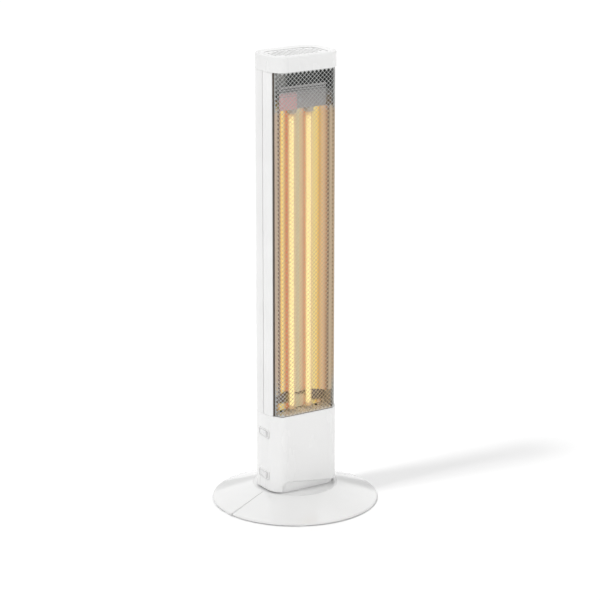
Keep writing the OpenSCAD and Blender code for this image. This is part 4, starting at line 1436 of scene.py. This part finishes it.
    def build(self) -> None:
        """Makes the grille and its seal."""
        shell = Shell("grille_lattice")
        self.lattice(shell)
        self.edges(shell)
        place(shell.make(Paint.GRILLE, weld=False, flat=True), "tower", "grille_metal", "front_grille")
        place(self.seal(), "tower", "black_plastic")


@dataclass
class HeatingCore:
    """Double-trough reflector, quartz tubes and glowing coils."""

    lamp_x: float = 14.3
    lamp_y: float = -13.5
    focal: float = 9.0
    mirror_y: float = -23.1
    sheet: float = 1.0
    edge_x: float = 48.6
    low_z: float = 165.0
    high_z: float = 590.0
    tube_r: float = 5.0
    tube_wall: float = 1.0
    tube_z0: float = 136.0
    tube_z1: float = 588.0
    coil_r: float = 2.75
    wire_r: float = 0.8
    coil_pitch: float = 2.1
    coil_in: float = 7.0
    coil_steps: int = 14
    header_x: float = 39.4
    header_y: float = -20.6
    header_z0: float = 586.8
    header_z1: float = 612.0
    bars: tuple = ((613.0, 615.0), (616.2, 619.6))
    bead_z: tuple = (605.2, 608.6)
    header_t: float = 0.9
    shelf: tuple = ((-46.0, -20.0, 602.0), (46.0, -0.5, 603.0))
    mica_x: float = -10.2
    mica_z: tuple = (586.3, 610.0)
    screw_x: float = -4.7
    screw_z: float = 599.0
    foot_x: float = 45.0
    foot_y: float = -7.4
    foot_z: float = 142.0

    def reflector(self) -> bpy.types.Object:
        """Reflector: across each half the sheet is a parabola round a lamp.

        The depth at x is the trough's deepest depth less the squared distance from the lamp's
        plane over four focal lengths, and it is level beyond the trough's edge.

        Returns:
            The new object.
        """
        base, four = self.lamp_y + self.focal, 4 * self.focal
        limit = self.lamp_x + math.sqrt(four * (base - self.mirror_y))
        x = np.unique(np.concatenate([np.linspace(-limit, limit, 121), [0.0, -self.edge_x, self.edge_x]]))
        trough = base - (np.abs(x) - self.lamp_x) ** 2 / four
        y = np.where(np.abs(x) > limit - 1e-6, self.mirror_y, trough)
        z = np.linspace(self.low_z, self.high_z, 15)
        front = np.stack(np.broadcast_arrays(x[None, :], y[None, :], z[:, None]), -1)
        back = front + np.array([0.0, self.sheet, 0.0])
        keep = np.ones((len(z) - 1, len(x) - 1), bool)
        return Shell("reflector_troughs").thick(front, back, keep).make(Paint.MIRROR)

    def tube(self, name: str, side: int) -> bpy.types.Object:
        """Quartz tube with rounded closed ends, turned round the lamp's axis.

        Args:
            name: Name of the piece.
            side: 1 for +X and -1 for -X.

        Returns:
            The new object.
        """
        r, w = self.tube_r, self.tube_wall
        outer = [(0, 0.0), (r - 2, 0.0), (r - 0.6, 0.6), (r, 2.0)]
        low, high, steps = self.tube_z0, self.tube_z1, 36
        levels = np.linspace(low + 8, high - 8, 13)
        profile = [(a, low + b) for a, b in outer] + [(r, z) for z in levels]
        profile += [(a, high - b) for a, b in outer[::-1]]
        inner = [(0, high - 2), (r - w - 1, high - 2), (r - w, high - 3)]
        inner += [(r - w, z) for z in levels[::-1]]
        inner += [(r - w, low + 3), (r - w - 1, low + 2), (0, low + 2)]
        move = np.array([side * self.lamp_x, self.lamp_y, 0.0])
        shell = Shell(name)
        for part in (profile, inner):
            shell.add(turned(part, steps) + move, grid_faces(steps, len(part), True, False))
        return shell.make(Paint.QUARTZ)

    def coil(self, name: str, side: int) -> bpy.types.Object:
        """Coil: a round wire carried along a helix inside the tube.

        The helix turns once in each pitch. The wire's circle lies across it, spanned by the
        outward direction and the direction across both that and the wire.

        Args:
            name: Name of the piece.
            side: 1 for +X and -1 for -X.

        Returns:
            The new object.
        """
        z0, z1 = self.tube_z0 + self.coil_in, self.tube_z1 - self.coil_in
        turns = int((z1 - z0) / self.coil_pitch)
        t = np.linspace(0, turns * 2 * math.pi, turns * self.coil_steps + 1)
        out = np.stack([np.cos(t), np.sin(t), np.zeros(len(t))], -1)
        rise = (z1 - z0) / (turns * 2 * math.pi)
        along = np.stack([-self.coil_r * np.sin(t), self.coil_r * np.cos(t), np.full(len(t), rise)], -1)
        along /= np.linalg.norm(along, axis=1)[:, None]
        cross = np.cross(along, out)
        centre = out * self.coil_r + np.array([side * self.lamp_x, self.lamp_y, 0.0])
        centre[:, 2] += z0 + rise * t
        a = (np.arange(6) * math.pi / 3)[None, :, None]
        grid = centre[:, None] + self.wire_r * (np.cos(a) * out[:, None] + np.sin(a) * cross[:, None])
        return Shell(name).bar(grid).make(Paint.COIL, weld=False)

    def header(self) -> bpy.types.Object:
        """Upper bracket: a shelf over the lamps, a front plate with two pressed beads, and bars.

        The front plate's depth is its plane less two bell curves of the height.

        Returns:
            The new object.
        """
        shell = Shell("lamp_header").block(*self.shelf, 0.3)
        z0, z1, x = self.header_z0, self.header_z1, self.header_x
        z = np.concatenate([[z0], np.linspace(z0 + 0.4, z1 - 0.4, 53), [z1]])
        beads = sum(np.exp(-(((z - level) / 0.9) ** 2)) for level in self.bead_z)
        front = self.header_y - 0.7 * beads
        front[[0, -1]] += 0.3
        back = np.column_stack([front + self.header_t, z])[::-1]
        shell.prism(np.concatenate([np.column_stack([front, z]), back]), 0, (-x, x))
        for low, high in self.bars:
            shell.block((-x, self.header_y + 0.4, low), (x, self.header_y + 1.4, high), 0.3)
        return shell.make(Paint.BRACKET)

    def mica(self) -> bpy.types.Object:
        """Mica sheet on the left of the header, with rounded corners.

        Returns:
            The new object.
        """
        x0, x1, (z0, z1) = -self.header_x, self.mica_x, self.mica_z
        outline = rounded([(x0, z0), (x1, z0), (x1, z1), (x0, z1)], [0.5, 0.8, 2.0, 0.8], 3)
        shell = Shell("mica_sheet").prism(outline, 1, (self.header_y - 0.05, self.header_y - 0.5))
        return shell.make(Paint.MICA)

    def screw(self) -> bpy.types.Object:
        """Pan-head screw in the header, turned round its own axis along Y.

        Returns:
            The new object.
        """
        steps = 24
        profile = [
            (0.0, 0.4), (0.5, 0.4), (0.7, 0.9), (1.8, 0.75),
            (2.5, 0.35), (2.6, 0.0), (2.6, -0.2), (0.0, -0.2),
        ]
        x, z, out = np.moveaxis(turned(profile, steps), -1, 0)
        points = np.stack([x + self.screw_x, self.header_y - out, z + self.screw_z], -1)
        shell = Shell("header_screw").add(points, grid_faces(steps, len(profile), True, False))
        return shell.make(Paint.ZINC)

    def lower_plate(self) -> bpy.types.Object:
        """Polished plate behind the lamps' lower ends, with a rolled upper edge.

        Returns:
            The new object.
        """
        y, t, low, high = self.foot_y, 0.8, self.foot_z, self.low_z
        section = rounded([
            (y, low), (y + t, low), (y + t, high), (y - 2 * t, high), (y - 2 * t, high - t), (y, high - t),
        ], [0.2, 0.2, 0.5, 0.2, 0.2, 0.3], 3)
        shell = Shell("lower_mirror").prism(section, 0, np.linspace(-self.foot_x, self.foot_x, 31))
        return shell.make(Paint.LOWER_MIRROR)

    def build(self) -> None:
        """Makes the reflector, the bracket with its fittings and both lamps."""
        place(self.header(), "tower", "plain_sheet", "upper_lamp_bracket")
        place(self.mica(), "tower", "ceramic")
        place(self.screw(), "tower", "zinc")
        place(self.lower_plate(), "tower", "polished_sheet")
        place(self.reflector(), "tower", "polished_sheet", "reflector")
        for word, side in (("left", -1), ("right", 1)):
            place(self.tube(f"{word}_tube", side), "tower", "quartz", f"{word}_lamp_tube")
            place(self.coil(f"{word}_coil", side), "tower", "heating_coil", f"{word}_filament")


class Position(Enum):
    """The two switches, by the height of their middles."""

    UPPER = 112.5
    LOWER = 49.5


@dataclass
class Switch:
    """Rocker switch in the left side: bezel, well and tilted rocker."""

    position: Position
    half_w: float = 56.5
    depth_v: float = 5.082
    bezel_l: float = 27.0
    bezel_h: float = 11.8
    bezel_t: float = 1.5
    rocker_l: float = 20.4
    rocker_h: float = 8.2
    tilt: float = 9.0
    pivot_in: float = 2.5
    face_h: float = 4.2
    vee: float = 1.0
    end_r: float = 0.9
    back_h: float = -1.2
    word: str = field(init=False)

    def __post_init__(self) -> None:
        """Names the switch by its position."""
        self.word = self.position.name.lower()

    def bezel(self) -> bpy.types.Object:
        """Frame with a rounded face and a well, as a closed section carried round an outline.

        The section starts at the well's floor and runs over the frame's face to its outer
        edge and back behind it; each of its rows is a rounded rectangle of that place's length
        and height, with its own distance out and its own corner radius.

        Returns:
            The new object.
        """
        wl, wh = self.rocker_l + 2.2, self.rocker_h + 0.6
        bl, bh, t = self.bezel_l, self.bezel_h, self.bezel_t
        steps = [
            (wl, wh, -8.0, 0.4), (wl, wh, 0.3, 0.5), (wl, wh, t - 0.3, 0.5), (wl + 0.6, wh + 0.6, t, 0.8),
            (bl - 1.4, bh - 1.4, t, 1.2), (bl - 0.5, bh - 0.5, t - 0.25, 1.5), (bl, bh, t - 0.9, 1.7),
            (bl, bh, 0.0, 1.7), (wl + 1.6, wh + 1.6, -0.1, 0.6), (wl + 1.6, wh + 1.6, -17.0, 0.6),
        ]
        centre = np.array([-self.depth_v, self.position.value])
        rows = []
        for length, height, out, r in steps:
            y, z = length / 2, height / 2
            p = rounded([(-y, -z), (y, -z), (y, z), (-y, z)], r, 4)
            rows.append(np.insert(p + centre, 0, -self.half_w - out, axis=1))
        return Shell(f"{self.word}_bezel").bar(np.stack(rows)).make(Paint.SWITCH)

    def rocker(self) -> bpy.types.Object:
        """Rocker: a shallow V along its length, with rounded edges and ends.

        Its section across the length is carried from end to end. The face's height is the
        middle's plus the V's rise times the share of the length, and it drops at both ends on
        quarter circles. All of it is then turned about the rocker's pivot.

        Returns:
            The new object.
        """
        end, high, r = self.rocker_l / 2, self.rocker_h / 2, self.end_r
        tip = np.array([0.9, 0.955, 0.985, 1.0])
        y = np.concatenate([-tip[::-1], np.linspace(-0.85, 0.85, 25), tip]) * end
        edge = np.abs(y) - (end - r)
        fall = np.where(edge > 0, r - np.sqrt(np.clip(r**2 - edge**2, 0, None)), 0.0)
        face = self.face_h + self.vee * np.abs(y) / end - fall
        section = np.array([
            (0.0, -1.0), (0.55, -1.0), (0.85, -0.985), (0.97, -0.94), (1.0, -0.86), (1.0, -0.4), (1.0, 0.4),
            (1.0, 0.86), (0.97, 0.94), (0.85, 0.985), (0.55, 1.0), (0.0, 1.0),
        ])
        x = self.back_h + (face[:, None] - self.back_h) * section[None, :, 0]
        z = np.broadcast_to(section[None, :, 1] * high, x.shape)
        a = math.radians(-self.tilt)
        yy = np.broadcast_to(y[:, None], x.shape)
        px = -x * math.cos(a) - yy * math.sin(a)
        py = -x * math.sin(a) + yy * math.cos(a)
        grid = np.stack([px - self.half_w + self.pivot_in, py - self.depth_v, z + self.position.value], -1)
        return Shell(f"{self.word}_rocker_cap").bar(grid).make(Paint.ROCKER)

    def build(self) -> None:
        """Makes the bezel and the rocker."""
        place(self.bezel(), "tower", "switch_plastic", f"{self.word}_switch")
        place(self.rocker(), f"{self.word}_rocker", "switch_plastic", f"{self.word}_rocker")


@dataclass
class PlainNodes:
    """Nodes of the frame that keep their shape and take a finish."""

    paints: dict = field(default_factory=lambda: {
        "ballast_plate": Paint.BALLAST, "base_screws": Paint.ZINC, "swivel_socket": Paint.INNER,
        "drive_yoke": Paint.ZINC, "tilt_switch": Paint.BLACK, "tilt_plunger": Paint.RED,
        "thrust_washer": Paint.ACETAL, "retaining_ring": Paint.ZINC, "swing_motor": Paint.MOTOR,
        "crank_arm": Paint.ZINC, "crank_roller": Paint.ACETAL, "top_vent": Paint.SHELL,
        "heat_shield": Paint.SHIELD, "lower_lamp_bracket": Paint.BRACKET, "lamp_end_caps": Paint.CERAMIC,
        "thermal_cutout": Paint.ZINC, "terminal_block": Paint.ACETAL, "lamp_leads": Paint.WIRE,
        "housing_screws": Paint.ZINC,
    })

    def build(self) -> None:
        """Gives each node its finish."""
        for name, paint in self.paints.items():
            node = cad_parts[name]
            if not node.material_slots:
                node.data.materials.append(paint.material)
            for slot in node.material_slots:
                slot.material = paint.material
            log.info("%s takes %s", name, paint.name)


@dataclass
class Studio:
    """Camera at the photograph's angle, pale floor, soft sky and one key light."""

    camera_at: tuple = (-1.7488, -2.7260, 1.2321)
    camera_tilt: float = 73.974
    camera_turn: float = -32.81
    lens: float = 140.28
    sky: float = 0.62
    key: float = 1.12
    key_angle: float = 56.6
    key_heading: float = -3.84
    key_soft: float = 9.0
    fill: float = 0.75
    fill_angle: float = 12.0
    fill_heading: float = 100.0
    fill_soft: float = 70.0
    back: float = 0.7
    back_angle: float = 50.0
    back_heading: float = -122.8
    back_soft: float = 80.0
    floor_size: float = 14.0

    def camera(self) -> None:
        """Makes the scene's camera."""
        data = bpy.data.cameras.new("camera")
        data.lens, data.sensor_width = self.lens, 36.0
        data.clip_start, data.clip_end = 0.05, 60.0
        made = bpy.data.objects.new("camera", data)
        made.location = self.camera_at
        made.rotation_euler = (math.radians(self.camera_tilt), 0.0, math.radians(self.camera_turn))
        bpy.context.scene.collection.objects.link(made)
        bpy.context.scene.camera = made

    def floor(self) -> None:
        """Makes the pale floor, a wide flat sheet that isn't part of the object."""
        mesh = bpy.data.meshes.new("floor")
        size = self.floor_size
        corners = [(-size, -size, 0), (size, -size, 0), (size, size, 0), (-size, size, 0)]
        mesh.from_pydata(corners, [], [(0, 1, 2, 3)])
        r = Recipe("floor_paper")
        paper = r.mix(r.noise(3.0, 2.0), (0.94, 0.94, 0.94), (0.95, 0.95, 0.95))
        r.finish(Base_Color=paper, Roughness=0.85)
        mesh.materials.append(r.material)
        made = bpy.data.objects.new("floor", mesh)
        bpy.context.scene.collection.objects.link(made)

    def sun(
        self, name: str, strength: float, angle: float, heading: float, soft: float, mirrored: bool = False
    ) -> None:
        """Makes a distant light.

        Args:
            name: Its name.
            strength: Its strength in watts for each square metre.
            angle: How steeply it falls, in degrees from level.
            heading: The direction in plan that its light travels in, in degrees from +X.
            soft: How wide it looks, in degrees.
            mirrored: Whether glossy surfaces show it.
        """
        data = bpy.data.lights.new(name, "SUN")
        data.energy, data.angle = strength, math.radians(soft)
        made = bpy.data.objects.new(name, data)
        made.rotation_euler = (0.0, -math.radians(90 - angle), math.radians(heading))
        made.location = (-2.0, 0.0, 3.0)
        made.visible_glossy = mirrored
        bpy.context.scene.collection.objects.link(made)

    def lights(self) -> None:
        """Makes the even white sky, the key from the left, the low fill and the light behind."""
        world = bpy.data.worlds.new("sky")
        bpy.context.scene.world = world
        world.use_nodes = True
        back = world.node_tree.nodes["Background"]
        back.inputs[0].default_value = (1.0, 1.0, 1.0, 1.0)
        back.inputs[1].default_value = self.sky
        self.sun("key", self.key, self.key_angle, self.key_heading, self.key_soft)
        self.sun("fill", self.fill, self.fill_angle, self.fill_heading, self.fill_soft)
        self.sun("back", self.back, self.back_angle, self.back_heading, self.back_soft, True)
        bpy.context.scene.view_settings.view_transform = "Standard"

    def build(self) -> None:
        """Makes the camera, the floor and the lights."""
        self.camera()
        self.floor()
        self.lights()


def main() -> None:
    logging.basicConfig(level=logging.INFO, format="%(name)s: %(message)s")
    parts = [
        Studio(), Base(), Swivel(), Housing(), Covers(), Grille(), HeatingCore(),
        Switch(Position.UPPER), Switch(Position.LOWER), PlainNodes(),
    ]
    for part in parts:
        part.build()
        log.info("%s is built", type(part).__name__)


if __name__ == "__main__":
    main()
